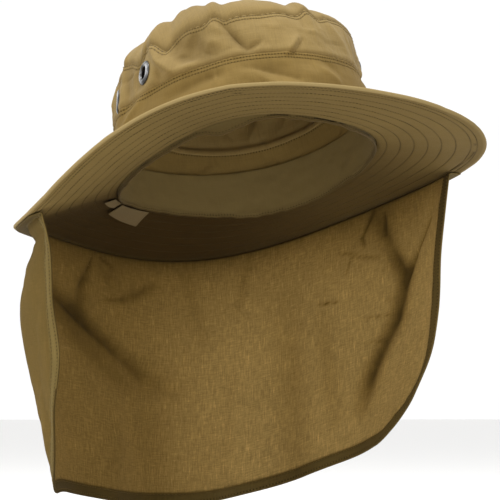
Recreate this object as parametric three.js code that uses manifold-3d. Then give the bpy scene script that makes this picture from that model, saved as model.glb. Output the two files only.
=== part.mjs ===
// Ranger hat with a neck flap, millimetres, +Z up.
// The front faces -Y and the wearer's left is +X. The origin is the centre of the head opening,
// in the plane of the seam between crown and brim. The hat sits as worn: tilted back a little,
// with the neck flap hanging plumb from the underside of the brim.
import * as THREE from 'three';
import { mergeVertices } from 'three/addons/utils/BufferGeometryUtils.js';
import Module from 'manifold-3d';

// ---------------------------------------------------------------- driving dimensions, mm and degrees
const OPENING = { halfWidth: 91.7, halfLength: 102.1 };      // seam oval, 610 mm round
const WORN = { tiltBack: 13.36, roll: 4.29 };
const CLOTH = { crown: 1.4, band: 1.6, brim: 2.2, sweatband: 1.4, flap: 1.1, hem: 1.7, label: 1.0 };
const GAP = 0.35;
const BRIM = { width: 74, innerEdge: -0.8, edgeRound: 0.8 };
const SWEATBAND = { setBack: 2.9, topLevel: 0.6, wave: 0.5, waves: 9 };
const CROWN = { bandBow: 1.2, sideBow: 1.75, topCurve: 3.04, topFlat: 1.64, topDent: 5, topCentre: -4 };
const FLAP = { seamFromEdge: 10.7, stripEdge: 1.6, length: 184, corner: 66, hem: 6, from: 89, to: 271 };
const EYELET = { outside: 8.5, hole: 4.3, barrel: 4.9, front: 1.25, back: 1.9, leaf: 0.8, seat: 11 };
const HOLE_CLEARANCE = 0.4;

// One row per section of the hat, counted from the front round towards the wearer's left.
// seamZ: height of the brim seam; drop: slope of the brim below the opening's plane;
// bandH, bandIn: height and inset of the band's top seam; sideH, sideIn: the same for the top seam;
// rise: how far the top panel puffs above its seam.
const SECTIONS = [
  { angle: -180, seamZ: 1.9, drop: 14.3, bandH: 48.5, bandIn: 6.1, sideH: 79.6, sideIn: 9.5, rise: 17.6 },
  { angle: -150, seamZ: 4.4, drop: 9.3, bandH: 51.3, bandIn: 5.3, sideH: 77.2, sideIn: 12.4, rise: 16.2 },
  { angle: -120, seamZ: -0.5, drop: 7.9, bandH: 49.3, bandIn: 5.3, sideH: 75.0, sideIn: 13.7, rise: 19.8 },
  { angle: -90, seamZ: -4.5, drop: 17.5, bandH: 45.6, bandIn: 6.9, sideH: 74.8, sideIn: 12.4, rise: 27.8 },
  { angle: -60, seamZ: -1.1, drop: 12.0, bandH: 45.3, bandIn: 8.5, sideH: 76.0, sideIn: 11.3, rise: 34.8 },
  { angle: -30, seamZ: 4.7, drop: 4.4, bandH: 47.0, bandIn: 8.3, sideH: 77.7, sideIn: 12.5, rise: 35.3 },
  { angle: 0, seamZ: 2.9, drop: 7.9, bandH: 47.2, bandIn: 6.7, sideH: 79.9, sideIn: 14.2, rise: 28.8 },
  { angle: 30, seamZ: -1.2, drop: 10.9, bandH: 47.6, bandIn: 5.4, sideH: 81.1, sideIn: 11.2, rise: 20.2 },
  { angle: 60, seamZ: 0.1, drop: 11.9, bandH: 50.0, bandIn: 5.3, sideH: 79.5, sideIn: 6.0, rise: 15.5 },
  { angle: 90, seamZ: 1.5, drop: 6.9, bandH: 51.1, bandIn: 5.8, sideH: 77.1, sideIn: 3.4, rise: 16.3 },
  { angle: 120, seamZ: -1.7, drop: 0.6, bandH: 48.3, bandIn: 6.4, sideH: 77.3, sideIn: 4.2, rise: 19.3 },
  { angle: 150, seamZ: -2.8, drop: 5.6, bandH: 46.1, bandIn: 6.6, sideH: 79.4, sideIn: 6.5, rise: 19.9 },
];

// Folds of the crown's wall: each runs from (angle, height) to (angle, height) and stands out or in.
const WALL_FOLDS = [
  { name: 'ridge_front_of_eyelet', a0: -66, h0: 76, a1: -51, h1: 47, width: 7, out: 4.2 },
  { name: 'hollow_right_front', a0: -44, h0: 70, a1: -36, h1: 56, width: 13, out: -4.5 },
  { name: 'hollow_behind_eyelet', a0: -80, h0: 74, a1: -80, h1: 50, width: 9, out: -2.6 },
  { name: 'crease_front', a0: -26, h0: 73, a1: -16, h1: 51, width: 4.5, out: -2.6 },
  { name: 'ridge_front', a0: 0, h0: 47, a1: 7, h1: 58, width: 4.5, out: 1.8 },
  { name: 'tuck_under', a0: -20, h0: 36, a1: 4, h1: 25, width: 4, out: -2.2 },
  { name: 'tuck_over', a0: 2, h0: 33, a1: 24, h1: 30, width: 5, out: 1.6 },
  { name: 'ridge_band_right', a0: -70, h0: 44, a1: -88, h1: 22, width: 5, out: 2.4 },
  { name: 'hollow_band_right', a0: -107, h0: 44, a1: -107, h1: 12, width: 14, out: -2 },
  { name: 'hollow_left_front', a0: 48, h0: 68, a1: 60, h1: 54, width: 12, out: -2.4 },
  { name: 'ridge_left', a0: 112, h0: 72, a1: 122, h1: 50, width: 8, out: 2.2 },
  { name: 'crease_back_left', a0: 140, h0: 74, a1: 152, h1: 52, width: 6, out: -2.8 },
  { name: 'crease_back', a0: 186, h0: 66, a1: 200, h1: 40, width: 7, out: -2.4 },
  { name: 'ridge_back_right', a0: 228, h0: 74, a1: 216, h1: 50, width: 8, out: 2.4 },
];

// Rumples of the top panel, in plan: from (x, y) to (x, y), with y towards the front.
const TOP_FOLDS = [
  { name: 'front_right_dip', x0: -52, y0: 34, x1: -30, y1: 58, width: 12, up: -3.5 },
  { name: 'middle_ridge', x0: -30, y0: -20, x1: 28, y1: 24, width: 11, up: 2.5 },
  { name: 'back_left_dip', x0: 16, y0: -44, x1: 50, y1: -18, width: 13, up: -4 },
  { name: 'back_right_dip', x0: -46, y0: -34, x1: -22, y1: -52, width: 12, up: -3 },
  { name: 'front_left_ridge', x0: 34, y0: 30, x1: 44, y1: 58, width: 9, up: 2 },
];

// One row per section of the hanging flap, counted from the wearer's left round the back.
// out60, out120, out190: how far the cloth stands outside its seam 60, 120 and 190 mm below it.
const FLAP_SECTIONS = [
  { angle: 89, out60: -7, out120: -16, out190: -44 },
  { angle: 99, out60: 0, out120: -7, out190: -32 },
  { angle: 112, out60: -4, out120: -14, out190: -33 },
  { angle: 126, out60: 2, out120: 1, out190: -8 },
  { angle: 141, out60: -4, out120: -9, out190: -16 },
  { angle: 157, out60: 2, out120: 4, out190: 4 },
  { angle: 172, out60: -2, out120: -6, out190: -9 },
  { angle: 187, out60: 2, out120: 4, out190: 5 },
  { angle: 202, out60: -3, out120: -8, out190: -12 },
  { angle: 218, out60: 0, out120: -1, out190: -8 },
  { angle: 233, out60: -2, out120: -11, out190: -26 },
  { angle: 246, out60: 5, out120: -2, out190: -28 },
  { angle: 258, out60: 4, out120: -3, out190: -26 },
  { angle: 271, out60: -7, out120: -12, out190: -23 },
];

// How far the sweatband's lower edge hangs below the seam, counted like the sections above.
const SWEATBAND_EDGE = [
  { angle: -180, drop: 3.2 }, { angle: -50, drop: 3.2 }, { angle: -40, drop: 3.4 }, { angle: -33, drop: 7.6 },
  { angle: -23, drop: 5.2 }, { angle: -14, drop: 2.8 }, { angle: 26, drop: 2.4 }, { angle: 50, drop: 3.2 }, { angle: 180, drop: 3.2 },
];

// Eyelets on the upper side panel: side, angle and level between its two seams.
const EYELETS = [
  { name: 'eyelet_right_front', angle: -68, level: 0.44 },
  { name: 'eyelet_right_back', angle: -92, level: 0.31 },
  { name: 'eyelet_left_front', angle: 77, level: 0.44 },
  { name: 'eyelet_left_back', angle: 101, level: 0.40 },
];

// Labels under the brim's inner edge: corners as angle, distance out from the seam, depth below.
const LABELS = {
  label_small: [
    { angle: -116, out: 0.6, below: 2.3 }, { angle: -126.5, out: 0.6, below: 2.3 },
    { angle: -127.7, out: 6.9, below: 2.5 }, { angle: -112.8, out: 8.4, below: 2.6 },
  ],
  label_large: [
    { angle: -128.5, out: 0.6, below: 3.0 }, { angle: -152, out: 2.2, below: 3.2 },
    { angle: -152.9, out: 18.4, below: 4.6 }, { angle: -131.2, out: 13.6, below: 4.4 },
  ],
};

// ---------------------------------------------------------------- tables to shapes
const rad = (d) => (d * Math.PI) / 180;
const lerp = (a, b, t) => a + (b - a) * t;
const clamp = (v, lo, hi) => Math.min(hi, Math.max(lo, v));
const smooth = (t) => { const u = clamp(t, 0, 1); return u * u * (3 - 2 * u); };

// Trigonometric interpolation through the evenly spaced rows of SECTIONS.
function around(key, angle) {
  const n = SECTIONS.length;
  let sum = 0;
  for (const row of SECTIONS) {
    const x = rad(angle - row.angle);
    const s = Math.sin(x / 2);
    sum += row[key] * (Math.abs(s) < 1e-9 ? 1 : (Math.sin((n / 2) * x) * Math.cos(x / 2)) / (n * s));
  }
  return sum;
}

// Smooth curve through unevenly spaced rows.
function along(rows, key, angle) {
  const last = rows.length - 1;
  if (angle <= rows[0].angle) return rows[0][key];
  if (angle >= rows[last].angle) return rows[last][key];
  let i = 0;
  while (rows[i + 1].angle < angle) i += 1;
  const slope = (k) => {
    const lo = rows[Math.max(k - 1, 0)], hi = rows[Math.min(k + 1, last)];
    return (hi[key] - lo[key]) / (hi.angle - lo.angle);
  };
  const w = rows[i + 1].angle - rows[i].angle;
  const t = (angle - rows[i].angle) / w;
  const t2 = t * t, t3 = t2 * t;
  return (2 * t3 - 3 * t2 + 1) * rows[i][key] + (t3 - 2 * t2 + t) * w * slope(i)
    + (-2 * t3 + 3 * t2) * rows[i + 1][key] + (t3 - t2) * w * slope(i + 1);
}

// The seam oval at an angle from the front: point and outward direction in the hat's own plane.
function oval(angle) {
  const t = rad(angle);
  const nx = Math.sin(t) / OPENING.halfWidth, ny = Math.cos(t) / OPENING.halfLength;
  const l = Math.hypot(nx, ny);
  return { x: OPENING.halfWidth * Math.sin(t), y: OPENING.halfLength * Math.cos(t), nx: nx / l, ny: ny / l };
}

// Hat plane (x to the wearer's left, y to the front, z up the crown) to the part's frame.
function worn(p) {
  const r = rad(WORN.roll), t = rad(WORN.tiltBack);
  const x = p.x * Math.cos(r) - p.z * Math.sin(r), up = p.x * Math.sin(r) + p.z * Math.cos(r);
  const y = p.y * Math.cos(t) - up * Math.sin(t), z = p.y * Math.sin(t) + up * Math.cos(t);
  return new THREE.Vector3(x, -y, z);
}

// How near a point of the wall is to a fold, 0 to 1: full along its middle, fading at its ends.
function foldWeight(px, py, x0, y0, x1, y1, width) {
  const dx = x1 - x0, dy = y1 - y0, len2 = dx * dx + dy * dy;
  const t = clamp(((px - x0) * dx + (py - y0) * dy) / len2, 0, 1);
  const d = Math.hypot(px - x0 - t * dx, py - y0 - t * dy);
  const ends = 0.55 + 0.45 * Math.sin(Math.PI * clamp(t, 0.02, 0.98));
  return ends * Math.exp(-(d * d) / (width * width));
}

const ARC = 1.68; // millimetres of wall per degree
const turnFrom = (angle, from) => ((((angle - from + 180) % 360) + 360) % 360) - 180;
function rawFolds(angle, h) {
  let sum = 0;
  for (const f of WALL_FOLDS) sum += f.out * foldWeight(turnFrom(angle, f.a0) * ARC, h, 0, f.h0, (f.a1 - f.a0) * ARC, f.h1, f.width);
  return sum * smooth(h / 14);
}
// The same, kept straight (a slope but no bend) where an eyelet is clamped.
function wallFolds(angle, h) {
  let value = rawFolds(angle, h);
  for (const e of EYELETS) {
    const u = turnFrom(angle, e.angle) * ARC;
    const eh = lerp(around('bandH', e.angle), around('sideH', e.angle), e.level);
    const v = h - eh, d = Math.hypot(u, v);
    if (d > EYELET.seat * 2) continue;
    const da = 4 / ARC;
    const gu = (rawFolds(e.angle + da, eh) - rawFolds(e.angle - da, eh)) / 8;
    const gv = (rawFolds(e.angle, eh + 4) - rawFolds(e.angle, eh - 4)) / 8;
    value = lerp(rawFolds(e.angle, eh) + gu * u + gv * v, value, smooth((d - EYELET.seat) / EYELET.seat));
  }
  return value;
}
function topFolds(x, y) {
  let sum = 0;
  for (const f of TOP_FOLDS) sum += f.up * foldWeight(x, y, f.x0, f.y0, f.x1, f.y1, f.width);
  return sum;
}

const MEAN_RISE = SECTIONS.reduce((s, r) => s + r.rise, 0) / SECTIONS.length;
const MEAN_RIM = SECTIONS.reduce((s, r) => s + r.sideH, 0) / SECTIONS.length;

// Crown: level 0 to 1 is the band, 1 to 2 the side panel, 2 to 3 the top panel from rim to middle.
function crown(angle, level) {
  const bandH = around('bandH', angle), sideH = around('sideH', angle);
  const s = clamp(level, 0, 1), u = clamp(level - 1, 0, 1), r = 1 - clamp(level - 2, 0, 1);
  let h, inset;
  if (level <= 1) {
    h = bandH * s;
    inset = around('bandIn', angle) * s - CROWN.bandBow * Math.sin(Math.PI * s);
  } else {
    h = lerp(bandH, sideH, u);
    inset = lerp(around('bandIn', angle), around('sideIn', angle), u) - CROWN.sideBow * Math.sin(Math.PI * u);
  }
  inset -= wallFolds(angle, h);
  const o = oval(angle);
  let x = o.x - o.nx * inset, y = o.y - o.ny * inset;
  let z = around('seamZ', angle) * Math.exp(-h / 30) + h;
  if (level > 2) {
    x *= r;
    y = CROWN.topCentre + (y - CROWN.topCentre) * r;
    const rise = lerp(MEAN_RISE, around('rise', angle), r * r);
    z = MEAN_RIM + (z - MEAN_RIM) * Math.pow(r, 1.5)
      + rise * Math.pow(1 - Math.pow(r, CROWN.topCurve), 1 / CROWN.topFlat)
      - CROWN.topDent * Math.exp(-Math.pow(r / 0.5, 2))
      + topFolds(x, y) * smooth((1 - r) / 0.3);
  }
  return worn({ x, y, z });
}

// Brim: distance out from the seam along the brim, and depth below its middle surface.
function brimPoint(angle, out, below = 0) {
  const o = oval(angle), s = rad(around('drop', angle));
  const reach = out * Math.cos(s) - below * Math.sin(s);
  return { x: o.x + o.nx * reach, y: o.y + o.ny * reach, z: around('seamZ', angle) - out * Math.sin(s) - below * Math.cos(s) };
}

// Sweatband, inside the band: level below 0 is its wavy lower edge, above 0 it follows the band.
function sweatbandPoint(angle, level) {
  const wave = SWEATBAND.wave * Math.sin(rad(angle) * SWEATBAND.waves) * Math.cos(rad(angle) * 3 + 1);
  const h = level < 0 ? -along(SWEATBAND_EDGE, 'drop', angle) - wave : level * around('bandH', angle);
  const k = Math.max(level, 0);
  const inset = around('bandIn', angle) * k - CROWN.bandBow * Math.sin(Math.PI * k) - wallFolds(angle, Math.max(h, 0)) + SWEATBAND.setBack;
  const o = oval(angle);
  return worn({ x: o.x - o.nx * inset, y: o.y - o.ny * inset, z: around('seamZ', angle) * Math.exp(-Math.max(h, 0) / 30) + h });
}

// Neck flap: s below 0 is the strip under the brim's edge, s above 0 hangs plumb from the seam line.
const FLAP_DEPTH = CLOTH.brim / 2 + GAP + CLOTH.flap / 2;
function flapSeam(angle) { return worn(brimPoint(angle, BRIM.width - FLAP.seamFromEdge, FLAP_DEPTH)); }
const FLAP_ARC = []; // running length of the seam line, a row per degree
{
  let sum = 0, last = flapSeam(FLAP.from);
  for (let a = FLAP.from; a <= FLAP.to; a += 1) {
    const p = flapSeam(a);
    sum += Math.hypot(p.x - last.x, p.y - last.y);
    FLAP_ARC.push(sum);
    last = p;
  }
}
const FLAP_WIDTH = FLAP_ARC[FLAP_ARC.length - 1];
function flapArc(angle) {
  const t = clamp(angle - FLAP.from, 0, FLAP_ARC.length - 1), i = Math.min(Math.floor(t), FLAP_ARC.length - 2);
  return lerp(FLAP_ARC[i], FLAP_ARC[i + 1], t - i);
}
// Length of the flap at an angle: full, with round lower corners.
function flapLength(angle) {
  const side = Math.min(flapArc(angle), FLAP_WIDTH - flapArc(angle));
  if (side >= FLAP.corner) return FLAP.length;
  const k = 1 - side / FLAP.corner;
  return FLAP.length - FLAP.corner * (1 - Math.sqrt(Math.max(0, 1 - k * k)));
}
function flapOut(angle, s) {
  const row = (key) => along(FLAP_SECTIONS, key, angle);
  const knots = [{ angle: 0, v: 0 }, { angle: 60, v: row('out60') }, { angle: 120, v: row('out120') }, { angle: 190, v: row('out190') }];
  return along(knots, 'v', s);
}
function flapPoint(angle, s) {
  if (s < 0) return worn(brimPoint(angle, BRIM.width - FLAP.seamFromEdge - s, FLAP_DEPTH));
  const p = flapSeam(angle);
  const a = flapSeam(angle - 0.5), b = flapSeam(angle + 0.5);
  const dx = b.x - a.x, dy = b.y - a.y, l = Math.hypot(dx, dy);
  const out = flapOut(angle, s);
  return new THREE.Vector3(p.x - (dy / l) * out * -1, p.y - (dx / l) * out, p.z - s);
}

// ---------------------------------------------------------------- sheets with thickness
// A grid of middle points becomes a closed cloth wall. rows run across, columns along; wrap closes
// the columns into a ring; pole closes the last row into one point.
function sheet(grid, thickness, { wrap = false, pole = null } = {}) {
  const nr = grid.length, nc = grid[0].length;
  const at = (i, j) => grid[clamp(i, 0, nr - 1)][wrap ? (j + nc) % nc : clamp(j, 0, nc - 1)];
  const outer = [], inner = [];
  const e1 = new THREE.Vector3(), e2 = new THREE.Vector3();
  for (let i = 0; i < nr; i += 1) {
    for (let j = 0; j < nc; j += 1) {
      e1.subVectors(at(i, j + 1), at(i, j - 1));
      const above = pole && i === nr - 1 ? pole : at(i + 1, j);
      e2.subVectors(above, at(i - 1, j));
      const n = e1.clone().cross(e2).normalize();
      const h = (typeof thickness === 'function' ? thickness(i, j) : thickness) / 2;
      outer.push(grid[i][j].clone().addScaledVector(n, h));
      inner.push(grid[i][j].clone().addScaledVector(n, -h));
    }
  }
  const verts = [...outer, ...inner];
  const off = outer.length;
  const id = (i, j, side) => side * off + i * nc + (wrap ? (j + nc) % nc : j);
  const tris = [];
  const quad = (a, b, c, d) => {
    if (verts[a].distanceTo(verts[c]) <= verts[b].distanceTo(verts[d])) tris.push(a, b, c, a, c, d);
    else tris.push(a, b, d, b, c, d);
  };
  const cols = wrap ? nc : nc - 1;
  for (let i = 0; i < nr - 1; i += 1) {
    for (let j = 0; j < cols; j += 1) {
      quad(id(i, j, 0), id(i, j + 1, 0), id(i + 1, j + 1, 0), id(i + 1, j, 0));
      quad(id(i, j, 1), id(i + 1, j, 1), id(i + 1, j + 1, 1), id(i, j + 1, 1));
    }
  }
  for (let j = 0; j < cols; j += 1) {
    quad(id(0, j, 0), id(0, j, 1), id(0, j + 1, 1), id(0, j + 1, 0));
    if (!pole) quad(id(nr - 1, j, 0), id(nr - 1, j + 1, 0), id(nr - 1, j + 1, 1), id(nr - 1, j, 1));
  }
  if (!wrap) {
    for (let i = 0; i < nr - 1; i += 1) {
      quad(id(i, 0, 0), id(i + 1, 0, 0), id(i + 1, 0, 1), id(i, 0, 1));
      quad(id(i, nc - 1, 0), id(i, nc - 1, 1), id(i + 1, nc - 1, 1), id(i + 1, nc - 1, 0));
    }
  }
  if (pole) {
    const n = new THREE.Vector3();
    for (let j = 0; j < cols; j += 1) n.add(outer[(nr - 1) * nc + j]).sub(inner[(nr - 1) * nc + j]);
    n.normalize();
    const h = (typeof thickness === 'function' ? thickness(nr - 1, 0) : thickness) / 2;
    const po = verts.push(pole.clone().addScaledVector(n, h)) - 1;
    const pi = verts.push(pole.clone().addScaledVector(n, -h)) - 1;
    for (let j = 0; j < cols; j += 1) {
      tris.push(id(nr - 1, j, 0), id(nr - 1, j + 1, 0), po);
      tris.push(id(nr - 1, j + 1, 1), id(nr - 1, j, 1), pi);
    }
  }
  const geometry = new THREE.BufferGeometry();
  geometry.setAttribute('position', new THREE.Float32BufferAttribute(verts.flatMap((v) => [v.x, v.y, v.z]), 3));
  geometry.setIndex(tris);
  return outward(geometry);
}

// Turn every face outwards if the closed surface came out inside out.
function outward(geometry) {
  const p = geometry.getAttribute('position'), index = geometry.getIndex();
  const a = new THREE.Vector3(), b = new THREE.Vector3(), c = new THREE.Vector3();
  let volume = 0;
  for (let i = 0; i < index.count; i += 3) {
    a.fromBufferAttribute(p, index.getX(i)); b.fromBufferAttribute(p, index.getX(i + 1)); c.fromBufferAttribute(p, index.getX(i + 2));
    volume += a.dot(b.cross(c)) / 6;
  }
  if (volume < 0) {
    const flipped = [];
    for (let i = 0; i < index.count; i += 3) flipped.push(index.getX(i), index.getX(i + 2), index.getX(i + 1));
    geometry.setIndex(flipped);
  }
  return geometry;
}

const range = (n, fn) => Array.from({ length: n }, (_, i) => fn(i));
const ringAngles = (n) => range(n, (j) => -180 + (360 * j) / n);
const ring = (n, levels, fn) => levels.map((l) => ringAngles(n).map((a) => fn(a, l)));

// ---------------------------------------------------------------- cutting
const wasm = await Module();
wasm.setup();
function toSolid(geometry) {
  const g = geometry.clone();
  g.deleteAttribute('normal');
  g.deleteAttribute('uv');
  const m = mergeVertices(g, 1e-4);
  return new wasm.Manifold(new wasm.Mesh({ numProp: 3, vertProperties: new Float32Array(m.getAttribute('position').array), triVerts: new Uint32Array(m.getIndex().array) }));
}
function toGeometry(solid) {
  const mesh = solid.getMesh();
  const g = new THREE.BufferGeometry();
  const xyz = [];
  for (let i = 0; i < mesh.vertProperties.length; i += mesh.numProp) xyz.push(mesh.vertProperties[i], mesh.vertProperties[i + 1], mesh.vertProperties[i + 2]);
  g.setAttribute('position', new THREE.Float32BufferAttribute(xyz, 3));
  g.setIndex(Array.from(mesh.triVerts));
  return g;
}

// ---------------------------------------------------------------- materials
const cloth = (color) => new THREE.MeshStandardMaterial({ color, roughness: 0.9, metalness: 0 });
const KHAKI = 0xa38a56, KHAKI_UNDER = 0x6f6038, FLAP_CLOTH = 0x8a7344, GOLD_OLIVE = 0x8c7433, LABEL_CLOTH = 0xb8a98c;
const metal = new THREE.MeshStandardMaterial({ color: 0xb9bcc0, roughness: 0.25, metalness: 1 });

const hat = new THREE.Group();
function add(name, geometry, material) {
  geometry.computeVertexNormals();
  const mesh = new THREE.Mesh(geometry, material);
  mesh.name = name;
  hat.add(mesh);
  return mesh;
}

// ---------------------------------------------------------------- crown
const BAND_END = 1 - 0.0065, SIDE_START = 1.0105, SIDE_END = 1.989, TOP_START = 2.0005; // levels at the seams, a small gap apart
const RING = 48;

// Band: stands on the brim's inner border.
const bandFoot = (CLOTH.brim / 2 + GAP + 0.25) / 48;
add('crown_band', sheet(ring(RING, [bandFoot, 0.25, 0.45, 0.6, 0.78, BAND_END], crown), CLOTH.band, { wrap: true }), cloth(KHAKI));

// Upper side panel with its eyelet holes.
const sideLevels = [SIDE_START, 1.2, 1.4, 1.6, 1.8, SIDE_END];
let side = toSolid(sheet(ring(RING, sideLevels, crown), CLOTH.crown, { wrap: true }));
const seats = EYELETS.map((e) => {
  const at = crown(e.angle, 1 + e.level);
  const across = crown(e.angle + 3, 1 + e.level).sub(crown(e.angle - 3, 1 + e.level));
  const up = crown(e.angle, 1 + e.level + 0.12).sub(crown(e.angle, 1 + e.level - 0.12));
  const out = across.clone().cross(up).normalize();
  if (out.dot(new THREE.Vector3(at.x, at.y, 0)) < 0) out.negate();
  return { name: e.name, at, turn: new THREE.Quaternion().setFromUnitVectors(new THREE.Vector3(0, 0, 1), out) };
});
for (const seat of seats) {
  const cutter = new THREE.CylinderGeometry(EYELET.barrel + HOLE_CLEARANCE, EYELET.barrel + HOLE_CLEARANCE, 12, 16);
  cutter.rotateX(Math.PI / 2);
  cutter.applyQuaternion(seat.turn);
  cutter.translate(seat.at.x, seat.at.y, seat.at.z);
  side = side.subtract(toSolid(cutter));
}
add('crown_side', toGeometry(side), cloth(KHAKI));

// Top panel, from its seam in to the middle.
const topLevels = [TOP_START, 2.012, 2.05, 2.13, 2.26, 2.45, 2.7];
add('crown_top', sheet(ring(RING, topLevels, crown), CLOTH.crown, { wrap: true, pole: crown(0, 3) }), cloth(KHAKI));

// ---------------------------------------------------------------- brim and sweatband
const brimOuts = [BRIM.innerEdge, BRIM.width / 2, BRIM.width];
const brimGrid = brimOuts.map((w) => ringAngles(72).map((a) => worn(brimPoint(a, w))));
add('brim', sheet(brimGrid, CLOTH.brim, { wrap: true }), cloth(KHAKI_UNDER));

add('sweatband', sheet(ring(RING, [-1, 0.04, 0.25, 0.45, SWEATBAND.topLevel], sweatbandPoint), CLOTH.sweatband, { wrap: true }), cloth(GOLD_OLIVE));

// ---------------------------------------------------------------- neck flap
{
  const columns = 54;
  // Columns crowd towards the two front hems, where the lower corners are rounded.
  const angles = range(columns + 1, (j) => {
    const t = j / columns;
    return lerp(FLAP.from, FLAP.to, 0.62 * t + 0.38 * (0.5 - 0.5 * Math.cos(Math.PI * t)));
  });
  const strip = [-(FLAP.seamFromEdge - FLAP.stripEdge)];
  const shares = [0, 0.05, 0.18, 0.34, 0.52, 0.7, 0.86, 0.965, 1];
  const grid = [
    ...strip.map((s) => angles.map((a) => flapPoint(a, s))),
    ...shares.map((k) => angles.map((a) => flapPoint(a, k * flapLength(a)))),
  ];
  const hemmed = (i, j) => (i >= grid.length - 2 || ((j === 0 || j === columns) && i > strip.length) ? CLOTH.hem : CLOTH.flap);
  add('neck_flap', sheet(grid, hemmed), cloth(FLAP_CLOTH));
}

// ---------------------------------------------------------------- eyelets
for (const seat of seats) {
  const { outside, hole, barrel, front, back, leaf } = EYELET;
  const profile = [
    [hole, -back - leaf], [outside - 0.8, -back - leaf], [outside - 0.8, -back], [barrel, -back],
    [barrel, front], [outside, front], [outside - 0.5, front + leaf * 0.7], [outside - 2, front + leaf], [hole + 0.6, front + leaf * 0.8], [hole, front], [hole, -back - leaf],
  ].map(([x, y]) => new THREE.Vector2(x, y));
  const g = new THREE.LatheGeometry(profile, 16);
  g.rotateX(Math.PI / 2);
  g.deleteAttribute('normal');
  g.deleteAttribute('uv');
  const mesh = add(seat.name, outward(mergeVertices(g, 1e-4)), metal);
  mesh.position.copy(seat.at);
  mesh.quaternion.copy(seat.turn);
}

// ---------------------------------------------------------------- labels
for (const [name, corners] of Object.entries(LABELS)) {
  const n = 4;
  const grid = range(3, (i) => range(n + 1, (j) => {
    const v = i / 2, u = j / n;
    const mix = (key) => lerp(lerp(corners[0][key], corners[1][key], u), lerp(corners[3][key], corners[2][key], u), v);
    return worn(brimPoint(mix('angle'), mix('out'), mix('below')));
  }));
  add(name, sheet(grid, CLOTH.label), cloth(LABEL_CLOTH));
}

export default hat;
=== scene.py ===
import math

import bpy
import numpy as np
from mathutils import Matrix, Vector


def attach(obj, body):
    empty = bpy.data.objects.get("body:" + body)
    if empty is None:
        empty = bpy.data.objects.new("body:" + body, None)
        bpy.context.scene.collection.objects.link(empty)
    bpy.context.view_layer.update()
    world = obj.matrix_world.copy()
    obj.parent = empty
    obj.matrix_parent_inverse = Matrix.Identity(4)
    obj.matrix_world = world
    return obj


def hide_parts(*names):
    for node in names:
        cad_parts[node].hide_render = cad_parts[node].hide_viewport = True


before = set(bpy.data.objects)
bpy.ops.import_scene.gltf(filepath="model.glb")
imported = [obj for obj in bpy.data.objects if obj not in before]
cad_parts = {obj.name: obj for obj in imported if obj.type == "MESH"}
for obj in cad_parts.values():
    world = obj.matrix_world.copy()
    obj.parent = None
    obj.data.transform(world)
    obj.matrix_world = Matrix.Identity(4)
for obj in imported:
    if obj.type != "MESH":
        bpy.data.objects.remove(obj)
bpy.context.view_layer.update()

# --- shape: the hat's form, in millimetres and degrees. x to the wearer's left, -y to the front.
HALF_WIDTH, HALF_LENGTH = 91.7, 102.1
TILT_BACK, ROLL = 13.36, 4.29
BAND_BOW, SIDE_BOW, TOP_CURVE, TOP_FLAT, TOP_DENT, TOP_CENTRE = 1.2, 1.75, 3.04, 1.64, 5.0, -4.0
BRIM_WIDTH = 74.0
FLAP_SEAM = 63.3          # the flap's seam, out from the brim's inner seam
FLAP_LENGTH, FLAP_CORNER, FLAP_FROM, FLAP_TO = 184.0, 66.0, 89.0, 271.0
ARC = 1.68                # millimetres of wall per degree


def table(names, *rows):
    return {n: np.array([r[i] for r in rows], float) for i, n in enumerate(names.split())}


SECTIONS = table(
    "angle seam_z drop band_h band_in side_h side_in rise",
    (-180, 1.9, 14.3, 48.5, 6.1, 79.6, 9.5, 17.6),
    (-150, 4.4, 9.3, 51.3, 5.3, 77.2, 12.4, 16.2),
    (-120, -0.5, 7.9, 49.3, 5.3, 75.0, 13.7, 19.8),
    (-90, -4.5, 17.5, 45.6, 6.9, 74.8, 12.4, 27.8),
    (-60, -1.1, 12.0, 45.3, 8.5, 76.0, 11.3, 34.8),
    (-30, 4.7, 4.4, 47.0, 8.3, 77.7, 12.5, 35.3),
    (0, 2.9, 7.9, 47.2, 6.7, 79.9, 14.2, 28.8),
    (30, -1.2, 10.9, 47.6, 5.4, 81.1, 11.2, 20.2),
    (60, 0.1, 11.9, 50.0, 5.3, 79.5, 6.0, 15.5),
    (90, 1.5, 6.9, 51.1, 5.8, 77.1, 3.4, 16.3),
    (120, -1.7, 0.6, 48.3, 6.4, 77.3, 4.2, 19.3),
    (150, -2.8, 5.6, 46.1, 6.6, 79.4, 6.5, 19.9),
)

# Folds of the crown's wall: angle and height of both ends, width, how far out, and how sharp its crest is.
WALL_FOLDS = table(
    "a0 h0 a1 h1 width out sharp",
    (-62, 77, -57, 60, 5.5, 4.6, 0.6),
    (-57, 60, -51, 49, 5.0, 4.0, 0.6),
    (-50, 50, -41, 48, 4, 1.4, 0.2),
    (-51, 74, -49, 60, 6.5, -2.8, 0.0),
    (-44, 70, -36, 56, 13, -5.0, 0.0),
    (-80, 74, -80, 50, 9, -2.6, 0.0),
    (-98, 58, -98, 76, 8, -2.6, 0.0),
    (-87, 58, -86, 76, 8, -1.2, 0.0),
    (60, 60, 66, 78, 10, -1.4, 0.0),
    (-54, 33, -31, 37, 5, -3.0, 0.2),
    (-26, 73, -16, 51, 4.5, -2.6, 0.4),
    (0, 47, 7, 58, 4.5, 1.8, 0.5),
    (-20, 40, 4, 32, 5, -1.4, 0.0),
    (2, 33, 24, 30, 5, 1.6, 0.0),
    (-70, 44, -88, 22, 5, 2.4, 0.4),
    (-107, 44, -107, 12, 14, -3.2, 0.0),
    (-96, 86, -96, 70, 9, -2.8, 0.0),
    (48, 68, 60, 54, 12, -2.4, 0.0),
    (112, 72, 122, 50, 8, 2.2, 0.3),
    (140, 74, 152, 52, 6, -2.8, 0.3),
    (186, 66, 200, 40, 7, -2.4, 0.3),
    (228, 74, 216, 50, 8, 2.4, 0.3),
)
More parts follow.
